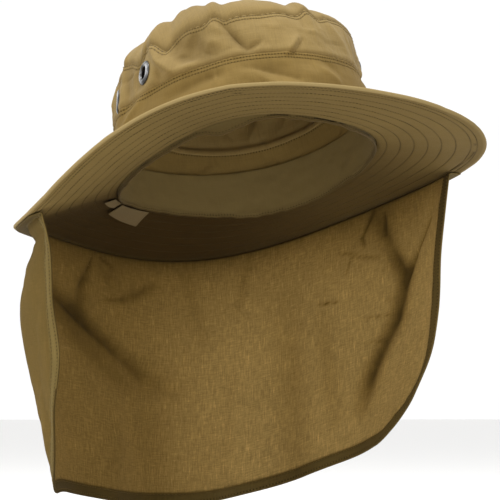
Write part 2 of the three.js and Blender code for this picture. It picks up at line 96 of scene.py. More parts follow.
# Smaller creases, the same way.
WALL_CREASES = table(
    "a0 h0 a1 h1 width out sharp",
    (-25, 71, -17, 54, 2.2, -1.7, 0.8),
    (-31, 74, -23, 66, 2.4, 1.0, 0.6),
    (-17, 51, -11, 56, 2.0, -1.4, 0.8),
    (1, 46, 8, 59, 1.4, 1.5, 1.0),
    (4, 46, 11, 58, 1.4, -1.2, 1.0),
    (-14, 50, -9, 57, 1.4, -1.0, 1.0),
    (10, 66, 22, 64, 1.6, 0.6, 0.8),
    (24, 58, 38, 60, 1.6, -0.6, 0.8),
    (-8, 70, 2, 66, 1.8, 0.6, 0.7),
    (-52, 62, -40, 53, 4.0, -1.2, 0.3),
    (-37, 58, -30, 52, 2.6, -0.9, 0.6),
    (-47, 48, -40, 52, 3.0, 1.2, 0.3),
    (-62, 70, -52, 50, 2.2, 1.8, 0.7),
    (-66, 66, -57, 48, 2.0, -1.3, 0.8),
    (-40, 70, -44, 58, 5.0, -1.6, 0.1),
    (-33, 60, -29, 56, 2.4, -0.7, 0.5),
    (-36, 66, -26, 58, 4.0, 1.0, 0.3),
    (18, 60, 20, 76, 1.8, 0.5, 0.6),
    (13, 62, 14, 72, 1.6, -0.5, 0.6),
    (32, 74, 40, 56, 4.0, 0.8, 0.3),
    (44, 76, 46, 54, 1.6, 0.6, 0.8),
    (50, 72, 52, 56, 1.6, -0.6, 0.8),
    (-66.5, 78, -70, 66, 1.7, -2.4, 0.9),
    (-87, 80, -85.5, 56, 1.8, 1.8, 0.8),
    (-76, 66, -88, 62, 1.6, -0.7, 0.8),
    (-84, 60, -84, 50, 3.0, -1.0, 0.5),
    (100, 60, 104, 78, 3.0, 0.9, 0.6),
    (128, 74, 134, 56, 3.0, -1.2, 0.6),
    (160, 56, 168, 74, 3.0, 1.1, 0.6),
    (176, 72, 182, 54, 3.0, -1.0, 0.6),
    (205, 74, 212, 56, 3.5, 1.2, 0.5),
    (238, 72, 232, 54, 3.0, -1.2, 0.6),
    (252, 54, 256, 70, 3.0, 1.0, 0.5),
    (66, 50, 72, 66, 2.6, 0.9, 0.6),
    # the band
    (-18.5, 37.8, 4, 26.5, 2.6, -1.7, 0.6),
    (-17, 34, -6, 18, 5.0, 3.0, 0.4),
    (-8, 20, 8, 14, 7.0, 2.6, 0.2),
    (-32, 40, -32, 32, 1.4, 1.0, 0.8),
    (-18, 36, -12, 24, 2.0, -0.7, 0.8),
    (-38, 38, -26, 36, 4.0, -1.0, 0.0),
    (14, 38, 26, 28, 2.6, 1.0, 0.5),
    (20, 42, 26, 38, 3.0, -1.2, 0.3),
    (-72, 40, -94, 20, 2.4, 1.2, 0.6),
    (-62, 28, -74, 14, 4.0, -1.0, 0.2),
    (60, 40, 76, 24, 4.0, 1.2, 0.3),
    (96, 36, 108, 20, 4.0, -1.3, 0.4),
    (130, 22, 144, 38, 4.0, 1.2, 0.4),
    (170, 36, 184, 22, 4.0, -1.2, 0.4),
    (204, 20, 216, 36, 4.0, 1.2, 0.4),
    (240, 38, 250, 22, 4.0, -1.0, 0.4),
)
# How far the sweatband's lower edge hangs below the seam.
SWEATBAND_EDGE = table(
    "angle drop",
    (-180, 3.2), (-50, 3.2), (-43, 3.0), (-40, 3.6), (-36.5, 6.4), (-33, 8.0), (-29, 7.0), (-22, 5.2), (-19.6, 3.7),
    (-16, 3.4), (-10, 2.5), (-4.5, 2.6), (-2, 3.4), (1, 2.8), (5.5, 3.4), (10, 2.7), (16, 2.5), (26, 2.3), (50, 3.2), (180, 3.2),
)
# Where the top seam sags or lifts: angle, half width in degrees, millimetres.
SEAM_SAGS = table(
    "angle half up",
    (-94, 9, 3.8), (-74, 4.5, -5.4), (-68, 3.5, 1.0), (-55, 3.6, -8.5), (-49, 3.6, -1.0), (-42, 4, 0.8), (-29.5, 3.2, 3.6), (-24.5, 3.0, -1.1), (-6, 6, -0.7),
    (12, 6, -2.6), (19, 3.2, 3.0), (26, 4, -3.0), (34, 5, -0.9), (74, 9, -2.0), (118, 8, 2.0), (150, 9, -2.4), (200, 10, 2.0), (232, 8, -2.4),
)
TOP_FOLDS = table(
    "x0 y0 x1 y1 width up",
    (-52, 34, -30, 58, 12, -3.5),
    (-30, -20, 28, 24, 11, 2.5),
    (16, -44, 50, -18, 13, -4),
    (-46, -34, -22, -52, 12, -3),
    (34, 30, 44, 58, 9, 2),
    (-60, 42, -48, 54, 9, 9.2),
    (-46, 52, -36, 62, 9, 2.4),
    (-34, 62, -20, 70, 9, -4.1),
    (-14, 66, 0, 70, 10, 0.8),
    (6, 66, 22, 62, 10, -4.2),
    (-70, 0, -68, 16, 9, -1.9),
)
TOP_CREASES = table(
    "x0 y0 x1 y1 width up",
    (-64, 8, -50, 20, 6, 2.0),
    (-60, 26, -40, 30, 4, -1.6),
    (-20, 66, -8, 50, 4, -1.2),
    (6, 70, 12, 52, 4, 1.2),
    (28, 62, 36, 44, 3.5, -1.2),
    (-36, 4, -12, 26, 5, -1.2),
    (10, 0, 40, -6, 6, -1.4),
    (-10, -30, 14, -56, 6, 1.6),
    (-56, -20, -34, -8, 5, 1.4),
    (50, 6, 66, 20, 5, 1.2),
    (44, -30, 30, -58, 5, 1.2),
    (-20, -70, -30, -50, 5, 1.2),
)
# The hanging flap: how far the cloth stands outside its seam at six depths below it.
FLAP_SECTIONS = table(
    "angle out30 out60 out95 out130 out160 out190",
    (89, -3.8, -7.2, -8.7, -15.0, -26.3, -38.3),
    (92.2, -4.4, -8.0, -10.0, -14.6, -25.2, -37.4),
    (95, -2.6, -5.2, -7.4, -12.8, -23.8, -36.4),
    (99, -0.7, -2.2, -5.8, -12.9, -23.3, -35.1),
    (105, -0.5, -2.2, -6.3, -13.3, -22.8, -33.4),
    (112, -0.7, -2.6, -6.5, -12.6, -20.4, -28.9),
    (126, -0.6, -1.9, -4.1, -7.4, -11.6, -16.1),
    (141, -1.5, -4.0, -7.0, -9.5, -12.0, -16.0),
    (157, 1.0, 2.0, 3.0, 4.0, 4.0, 4.0),
    (172, -1.0, -2.0, -4.5, -6.5, -8.0, -9.0),
    (187, 1.0, 2.0, 3.0, 4.0, 4.5, 5.0),
    (202, -1.2, -3.0, -6.0, -8.5, -10.5, -12.0),
    (218, -0.7, -1.8, -3.4, -5.8, -9.0, -12.5),
    (233, 0.7, -0.1, -2.9, -7.8, -14.0, -20.4),
    (246, 2.1, 5.9, 1.1, -7.6, -16.3, -22.2),
    (252, 1.7, 5.3, 0.7, -8.9, -15.5, -20.3),
    (258, 1.2, 1.0, -2.3, -8.8, -14.3, -19.3),
    (265, -1.9, -4.0, -6.8, -9.7, -14.0, -19.1),
    (271, -6.3, -8.0, -13.1, -10.1, -13.5, -18.4),
)
FLAP_DEPTHS = np.array([0.0, 30, 60, 95, 130, 160, 190])
# Folds of the flap: angle and depth of both ends, width in millimetres, how far out, sharpness, and how doubled the
# cloth is, which both lets less light through and sets the painted shade along the fold.
FLAP_FOLDS = table(
    "a0 s0 a1 s1 width out sharp dense",
    # on the wearer's left, a forked fold
    (121, 6, 114.2, 43.8, 5.0, 3.0, 0.2, 0.60),
    (114.2, 43.8, 109.6, 61, 4.2, 3.5, 0.2, 0.80),
    (98.3, 26, 105.4, 51.9, 1.5, 1.8, 0.6, 0.75),
    (105.4, 51.9, 109.8, 66, 3.4, 3.0, 0.3, 0.75),
    (109.4, 62.4, 112.2, 92.4, 5.6, 3.2, 0.0, 0.85),
    (112.2, 92.4, 120.2, 122, 6.0, 2.8, 0.0, 0.85),
    (120.2, 122, 122.6, 146, 6.6, 2.2, 0.0, 0.75),
    (121.8, 1.4, 126, 19.5, 1.8, 1.6, 0.4, 0.75),
    (126, 19.5, 125, 27, 1.5, 1.2, 0.4, 0.55),
    (118.2, 7, 118.4, 24, 1.8, 1.4, 0.3, 0.55),
    (133.6, 24.5, 127.5, 30, 1.0, -0.8, 0.8, 0.45),
    (129.5, 31, 119.6, 39.5, 1.1, -0.9, 0.8, 0.45),
    (129.5, 31, 130.9, 43.3, 1.0, -0.7, 0.8, 0.45),
    (139.3, 58.1, 133.5, 61.4, 0.7, -0.8, 1.0, 0.9),
    (125.3, 81, 114.5, 86.7, 0.7, -0.6, 1.0, 0.45),
    (117.1, 73.8, 115.1, 75.2, 0.8, -0.6, 1.0, 0.5),
    (124.7, 100, 116.2, 104.8, 0.8, -0.6, 1.0, 0.35),
    (97.5, 8, 101, 24, 4.0, -1.6, 0.3, -0.15),
    (96.5, 84, 99, 128, 4.0, -1.8, 0.3, -0.12),
    (104, 96, 108, 140, 3.0, -1.5, 0.3, -0.10),
    (110, 8, 132, 8, 12.0, 0.0, 0.0, 0.28),
    # on the wearer's right
    (236, 31, 229, 38, 5.4, 1.6, 0.0, 0.30),
    (229, 38, 218, 48, 4.6, 3.5, 0.1, 0.60),
    (218, 48, 210.3, 58, 4.8, 4.5, 0.1, 0.80),
    (210.3, 58, 201, 71, 4.4, 4.5, 0.1, 0.80),
    (201, 71, 191, 86, 4.6, 3.5, 0.1, 0.55),
    (191, 86, 182, 98, 5.4, 2.0, 0.1, 0.25),
    (207.6, 7, 209.4, 18, 1.1, 2.0, 0.5, 0.75),
    (209.4, 18, 212.3, 30, 2.6, 2.5, 0.3, 0.65),
    (212.3, 30, 214, 50, 5.0, 2.5, 0.1, 0.55),
    (205, 5, 200.5, 11, 1.1, -1.0, 0.6, 0.6),
    (204, 12, 201, 24, 4.2, 1.2, 0.0, 0.30),
    (203.4, 36, 197, 33, 1.8, 1.4, 0.4, 0.50),
    (197, 33, 187, 20, 2.6, 1.6, 0.3, 0.55),
    (226, 66, 219, 64, 0.6, -0.4, 1.0, -0.3),
    (226, 80, 214, 78, 0.6, -0.4, 1.0, -0.3),
    (220, 18, 221, 26, 0.7, -0.5, 1.0, -0.5),
    (214, 92, 206, 120, 6.0, -2.5, 0.2, 0.0),
    (256, 98, 265.5, 140, 4.0, -1.6, 0.3, 0.2),
    (266, 60, 262, 110, 4.0, 0.8, 0.2, 0.0),
    (263, 8, 258, 74, 11.0, 0.0, 0.0, 0.35),
    (232, 46, 222, 56, 8.0, 0.0, 0.0, 0.40),
    (222, 56, 208, 78, 7.0, 0.0, 0.0, 0.50),
    (208, 78, 196, 98, 6.0, 0.0, 0.0, 0.35),
    (238, 9, 268, 9, 6.0, -5.5, 0.0, 0.0),
    (240, 19, 267, 21, 9.0, -4.0, 0.0, 0.0),
    # at the back
    (150, 50, 146, 176, 9.0, 4.5, 0.1, 0.25),
    (158, 70, 157, 176, 8.0, -2.5, 0.0, 0.0),
    (166, 90, 170, 176, 8.0, -3.6, 0.1, 0.0),
    (190, 84, 186, 176, 9.0, 4.5, 0.1, 0.25),
    (200, 100, 203, 172, 9.0, -3.2, 0.1, 0.0),
    (178, 6, 174, 60, 4.0, 1.4, 0.3, 0.2),
    (160, 4, 163, 40, 3.0, 1.2, 0.4, 0.2),
    (138, 70, 133, 150, 5.0, 2.0, 0.2, 0.2),
)
EYELETS = {  # angle, level between the side panel's two seams, how far the cloth turns and leans with it
    "eyelet_right_front": (-67, 0.44, 0.24, -0.14), "eyelet_right_back": (-92, 0.26, 0.22, -0.06),
    "eyelet_left_front": (77, 0.44, 0.0, 0.0), "eyelet_left_back": (101, 0.40, 0.0, 0.0),
}
EYELET_SEAT = 10.0
BRIM_ROWS = (5.3, 14.8, 24.3, 33.7, 43.1, 53.0, 63.3)


def smooth(t):
    t = np.clip(t, 0, 1)
    return t * t * (3 - 2 * t)


def around(key, a):
    """Trigonometric interpolation through the even rows of SECTIONS."""
    a = np.asarray(a, float)
    n, out = len(SECTIONS["angle"]), np.zeros_like(a)
    for angle, value in zip(SECTIONS["angle"], SECTIONS[key]):
        x = np.radians(a - angle)
        s = np.sin(x / 2)
        near = np.abs(s) < 1e-9
        out += value * np.where(near, 1.0, np.sin(n / 2 * x) * np.cos(x / 2) / (n * np.where(near, 1, s)))
    return out


def hermite(xs, ys, x):
    """Smooth curve through unevenly spaced rows; ys may have one column for each x."""
    x = np.clip(x, xs[0], xs[-1])
    last = len(xs) - 1
    i = np.clip(np.searchsorted(xs, x, side="left") - 1, 0, last - 1)

    def at(k):
        return ys[k] if ys[0].ndim == 0 else np.take_along_axis(np.stack(ys), k[None], 0)[0]

    def slope(k):
        lo, hi = np.maximum(k - 1, 0), np.minimum(k + 1, last)
        return (at(hi) - at(lo)) / (xs[hi] - xs[lo])

    w = xs[i + 1] - xs[i]
    t = (x - xs[i]) / w
    t2, t3 = t * t, t * t * t
    return (2 * t3 - 3 * t2 + 1) * at(i) + (t3 - 2 * t2 + t) * w * slope(i) + (-2 * t3 + 3 * t2) * at(i + 1) + (t3 - t2) * w * slope(i + 1)


def oval(a):
    t = np.radians(a)
    nx, ny = np.sin(t) / HALF_WIDTH, np.cos(t) / HALF_LENGTH
    l = np.hypot(nx, ny)
    return HALF_WIDTH * np.sin(t), HALF_LENGTH * np.cos(t), nx / l, ny / l


def worn(x, y, z):
    r, t = math.radians(ROLL), math.radians(TILT_BACK)
    x2, up = x * math.cos(r) - z * math.sin(r), x * math.sin(r) + z * math.cos(r)
    y2, z2 = y * math.cos(t) - up * math.sin(t), y * math.sin(t) + up * math.cos(t)
    return np.stack([x2, -y2, z2], -1)


def turn_from(a, start):
    return (a - start + 180) % 360 - 180


def fold_sum(rows, px, py, x_of, out="out"):
    total = np.zeros(np.broadcast(px, py).shape)
    keys = list(rows)
    for k in range(len(rows[keys[0]])):
        f = {n: rows[n][k] for n in keys}
        x, dx, y0, dy = x_of(px, f)
        t = np.clip((x * dx + (py - y0) * dy) / (dx * dx + dy * dy), 0, 1)
        d = np.hypot(x - t * dx, py - y0 - t * dy)
        ends = 0.55 + 0.45 * np.sin(np.pi * np.clip(t, 0.02, 0.98))
        sharp = f.get("sharp", 0.0)
        soft, crest = np.exp(-(d / f["width"]) ** 2), np.exp(-np.sqrt(d * d + (0.12 * f["width"]) ** 2) / (0.8 * f["width"]) + 0.15)
        total = total + f[out] * ends * (soft * (1 - sharp) + crest * sharp)
    return total


def wall_x(a, f):
    return turn_from(a, f["a0"]) * ARC, (f["a1"] - f["a0"]) * ARC, f["h0"], f["h1"] - f["h0"]


def raw_folds(a, h, fine=True):
    total = fold_sum(WALL_FOLDS, a, h, wall_x)
    if fine:
        total = total + 1.35 * fold_sum(WALL_CREASES, a, h, wall_x)
    return total * smooth(h / 14)


def eyelet_at(name):
    angle, level = EYELETS[name][:2]
    b, s = float(around("band_h", angle)), float(around("side_h", angle))
    return angle, b + (s - b) * level


def wall_folds(a, h):
    """The folds, kept straight (a slope but no bend) where an eyelet is clamped."""
    value = raw_folds(a, h)
    for name in EYELETS:
        angle, eh = eyelet_at(name)
        u, v = turn_from(a, angle) * ARC, h - eh
        d = np.hypot(u, v)
        one = np.array(float(angle))
        da = 4 / ARC
        mid = raw_folds(one, eh, False)
        gu = (raw_folds(one + da, eh, False) - raw_folds(one - da, eh, False)) / 8
        gv = (raw_folds(one, eh + 4, False) - raw_folds(one, eh - 4, False)) / 8
        gu, gv = gu + EYELETS[name][2], gv + EYELETS[name][3]
        keep = smooth((d - EYELET_SEAT) / (EYELET_SEAT * 0.8))
        value = np.where(d < EYELET_SEAT * 2, (mid + gu * u + gv * v) * (1 - keep) + value * keep, value)
    return value


def lattice(u, v, nu, nv, seed, wrap=True):
    """Smooth noise, -1 to 1, on a lattice of nu by nv over u and v from 0 to 1."""
    r = np.random.RandomState(seed).uniform(-1, 1, (nv + 3, nu + 3))
    x, y = np.asarray(u, float) * nu, np.clip(np.asarray(v, float), 0, 1) * nv
    i, j = np.floor(x).astype(int), np.floor(y).astype(int)
    fx, fy = x - i, y - j
    fx, fy = fx ** 3 * (fx * (fx * 6 - 15) + 10), fy ** 3 * (fy * (fy * 6 - 15) + 10)
    i0, i1 = (i % nu, (i + 1) % nu) if wrap else (np.clip(i, 0, nu + 2), np.clip(i + 1, 0, nu + 2))
    j0, j1 = np.clip(j, 0, nv + 2), np.clip(j + 1, 0, nv + 2)
    a, b = r[j0, i0] * (1 - fx) + r[j0, i1] * fx, r[j1, i0] * (1 - fx) + r[j1, i1] * fx
    return a * (1 - fy) + b * fy


def band_top(a):
    return around("band_h", a)


def side_top(a):
    total = around("side_h", a)
    for angle, half, up in zip(*(SEAM_SAGS[k] for k in ("angle", "half", "up"))):
        total = total + up * np.exp(-((turn_from(np.asarray(a, float), angle)) / half) ** 2)
    return total


MEAN_RISE, MEAN_RIM = SECTIONS["rise"].mean(), SECTIONS["side_h"].mean()


def pucker(a, d, seed, reach=5.0, size=0.35, waves=118):
    """Small gathers along a seam that lies at distance d, millimetres, from the point."""
    u = (a + 180) / 360
    strength = 0.5 + 0.5 * lattice(u, 0 * u, 40, 1, seed)
    wave = np.sin(2 * np.pi * waves * u + 3.0 * lattice(u, 0 * u, 60, 1, seed + 1))
    return size * strength * wave * np.exp(-np.abs(d) / reach)


def rumple(a, h, size=1.0):
    """Fine creasing of the crown's wall."""
    u, v = (a + 180) / 360, h / 100
    soft = 0.55 * lattice(u, v, 34, 5, 11) + 0.3 * lattice(u, v, 76, 9, 12) + 0.14 * lattice(u, v, 150, 22, 13)
    ridged = 1 - np.abs(lattice(u, v * 1.0, 46, 7, 14)) * 2.6
    thin = 1 - np.abs(lattice(u + 0.3 * v, v, 62, 10, 15)) * 3.4
    return size * (soft + 0.5 * np.clip(ridged, 0, 1) ** 3 - 0.3 * np.clip(thin, 0, 1) ** 3)


def wall(a, h, inset):
    x, y, nx, ny = oval(a)
    return worn(x - nx * inset, y - ny * inset, around("seam_z", a) * np.exp(-h / 30) + h)


def band_inset(a, h, fine=True):
    s = np.clip(h / band_top(a), 0, 1)
    return around("band_in", a) * s - BAND_BOW * np.sin(np.pi * s) - (wall_folds(a, h) if fine else raw_folds(a, h, False))


def band_point(a, h, out=0.0):
    """The band's middle surface at a height, moved outwards by out."""
    grain = rumple(a, h, 0.6) * smooth(h / 12) * smooth((band_top(a) - h) / 8)
    grain = grain + pucker(a, band_top(a) - h, 21, 5.0, 0.3)
    return wall(a, h, band_inset(a, h) - out - grain)


def side_point(a, u, out=0.0):
    """The side panel's middle surface between its seams, u from 0 to 1; below 0 or above 1 it is the turned-in allowance."""
    low, high = band_top(a), side_top(a)
    h = low + (high - low) * u
    k = np.clip(u, 0, 1)
    b = around("band_in", a)
    inset = b + (around("side_in", a) - b) * k - SIDE_BOW * np.sin(np.pi * k)
    near = np.minimum(h - low, high - h)
    grain = rumple(a, h, 0.95) * smooth(near / 8)
    grain = grain + pucker(a, h - low, 31, 6.0, 0.35, 104) + pucker(a, high - h, 41, 6.0, 0.45, 92)
    for name in EYELETS:
        angle, eh = eyelet_at(name)
        grain = grain * smooth((np.hypot(turn_from(a, angle) * ARC, h - eh) - 9) / 8)
    return wall(a, h, inset - wall_folds(a, h) - out - grain)


def top_point(a, t, out=0.0):
    """The top panel's middle surface, t from 0 at its seam to 1 in the middle."""
    rim, r = around("side_h", a), 1 - t
    high, sag = side_top(a), side_top(a) - rim
    inset = around("side_in", a) - wall_folds(a, high) * r ** 3 - out
    x, y, nx, ny = oval(a)
    x, y = x - nx * inset, y - ny * inset
    z = around("seam_z", a) * np.exp(-high / 30) + rim
    x, y = x * r, TOP_CENTRE + (y - TOP_CENTRE) * r
    rise = MEAN_RISE + (around("rise", a) - MEAN_RISE) * r * r
    z = MEAN_RIM + (z - MEAN_RIM) * r ** 1.5 + sag * r ** 3.5 + rise * np.maximum(1 - r ** TOP_CURVE, 0) ** (1 / TOP_FLAT) - TOP_DENT * np.exp(-(r / 0.5) ** 2)

    def plan(px, f):
        return px - f["x0"], f["x1"] - f["x0"], f["y0"], f["y1"] - f["y0"]

    z = z + fold_sum(TOP_FOLDS, x, y, plan, "up") * smooth(t / 0.3) + 1.3 * fold_sum({**TOP_CREASES, "sharp": 0.6 + 0 * TOP_CREASES["up"]}, x, y, plan, "up") * smooth(t / 0.12)
    u, v = x / 200 + 0.5, y / 220 + 0.5
    fine = 0.9 * lattice(u, v, 9, 10, 51) + 0.5 * lattice(u, v, 20, 22, 52) + 0.2 * lattice(u, v, 44, 48, 53)
    z = z + (fine * smooth(t / 0.2) + pucker(a, t * 80, 55, 5.0, 0.25, 88)) * smooth((1 - t) / 0.1)
    return worn(x, y, z)


def brim_point(a, out, below=0.0):
    x, y, nx, ny = oval(a)
    s = np.radians(around("drop", a))
    reach = out * np.cos(s) - below * np.sin(s)
    lift = 1.1 * np.exp(-np.abs(turn_from(np.asarray(a, float), -23.5)) / 5.0) * smooth(out / 60)
    return worn(x + nx * reach, y + ny * reach, around("seam_z", a) - out * np.sin(s) - below * np.cos(s) + lift)


FLAP_DEPTH = 2.2 / 2 + 0.35 + 1.1 / 2


def flap_seam(a):
    return brim_point(a, FLAP_SEAM, FLAP_DEPTH)


_aa = np.arange(FLAP_FROM, FLAP_TO + 0.5, 1.0)
_seam = flap_seam(_aa)[:, :2]
FLAP_ARC = np.concatenate([[0], np.cumsum(np.hypot(*np.diff(_seam, axis=0).T))])
FLAP_WIDE = FLAP_ARC[-1]


def flap_arc(a):
    return np.interp(a, _aa, FLAP_ARC)


def flap_length(a):
    side = np.minimum(flap_arc(a), FLAP_WIDE - flap_arc(a))
    k = np.clip(1 - side / FLAP_CORNER, 0, 1)
    return FLAP_LENGTH - FLAP_CORNER * (1 - np.sqrt(np.maximum(0, 1 - k * k)))


def flap_edge(x, y):
    """How far a point of the flat flap, x along the seam and y down, is from its front or lower edge."""
    x = np.minimum(x, FLAP_WIDE - x)
    corner = (x < FLAP_CORNER) & (y > FLAP_LENGTH - FLAP_CORNER)
    return np.where(corner, FLAP_CORNER - np.hypot(FLAP_CORNER - x, y - (FLAP_LENGTH - FLAP_CORNER)), np.minimum(x, FLAP_LENGTH - y))


def flap_grain(a, s):
    u, v = flap_arc(a) / FLAP_WIDE, s / 200
    value = 1.6 * lattice(u, v, 16, 4, 71, False) + 0.9 * lattice(u, v, 34, 8, 72, False) + 0.35 * lattice(u, v, 80, 26, 73, False)
    return value * smooth(s / 30) * smooth(flap_edge(flap_arc(a), s) / 16)


def flap_x(px, f):
    return (px - f["a0"]) * 2.72, (f["a1"] - f["a0"]) * 2.72, f["s0"], f["s1"] - f["s0"]


def flap_out(a, s):
    knots = [np.zeros_like(s * a)] + [hermite(FLAP_SECTIONS["angle"], FLAP_SECTIONS["out%d" % k], a + 0 * s) for k in FLAP_DEPTHS[1:]]
    base = hermite(FLAP_DEPTHS, knots, s + 0 * a)
    return base + (fold_sum(FLAP_FOLDS, a, s, flap_x) + flap_grain(a, s)) * smooth(s / 14)


def flap_doubled_and_shade(a, s):
    """How much the cloth is doubled in its folds, so that less light passes, and how much painted shade darkens them.
    """
    rows = {**FLAP_FOLDS, "width": np.where(FLAP_FOLDS["width"] > 2, 1.5, 1.0) * FLAP_FOLDS["width"]}
    return np.clip(fold_sum(rows, a, s, flap_x, "dense"), -0.5, 1)


def flap_point(a, s, out=0.0):
    """The hanging cloth: s below the seam. out moves it away from the neck."""
    p, q, r = flap_seam(a), flap_seam(a - 0.5), flap_seam(a + 0.5)
    dx, dy = (r - q)[..., 0], (r - q)[..., 1]
    l = np.hypot(dx, dy)
    o = flap_out(a, s) + out
    return np.stack([p[..., 0] + dy / l * o, p[..., 1] - dx / l * o, p[..., 2] - s], -1)
# --- end of shape


# --- building meshes
MM = 0.001


def unit(v):
    return v / np.maximum(np.linalg.norm(v, axis=-1, keepdims=True), 1e-12)


def frames(P, wrap):
    """Unit directions along the columns and rows of a grid of points, and its normal."""
    du = (np.roll(P, -1, 1) - np.roll(P, 1, 1)) if wrap else np.gradient(P, axis=1)
    dv = np.gradient(P, axis=0)
    n = unit(np.cross(du, dv))
    return unit(du), unit(dv), n


def new_object(name, verts, faces, uv, tones, material):
    """verts in mm; faces is a list of (n, k) index arrays; uv matches them, in metres; tones are named numbers for each point."""
    mesh = bpy.data.meshes.new(name)
    counts = np.concatenate([np.full(len(f), f.shape[1]) for f in faces])
    loops = np.concatenate([f.ravel() for f in faces])
    mesh.vertices.add(len(verts))
    mesh.vertices.foreach_set("co", (np.asarray(verts, float) * MM).astype(np.float32).ravel())
    mesh.loops.add(len(loops))
    mesh.loops.foreach_set("vertex_index", loops.astype(np.int32))
    mesh.polygons.add(len(counts))
    mesh.polygons.foreach_set("loop_start", np.concatenate([[0], np.cumsum(counts)[:-1]]).astype(np.int32))
    mesh.polygons.foreach_set("loop_total", counts.astype(np.int32))
    mesh.polygons.foreach_set("use_smooth", np.ones(len(counts), bool))
    layer = mesh.uv_layers.new(name="Cloth")
    layer.data.foreach_set("uv", np.concatenate([u.reshape(-1, 2) for u in uv]).astype(np.float32).ravel())
    for key, values in tones.items():
        attribute = mesh.attributes.new(key, "FLOAT", "POINT")
        attribute.data.foreach_set("value", np.asarray(values, np.float32).ravel())
    mesh.update(calc_edges=True)
    mesh.validate()
    mesh.materials.append(material)
    obj = bpy.data.objects.new(name, mesh)
    bpy.context.scene.collection.objects.link(obj)
    return obj


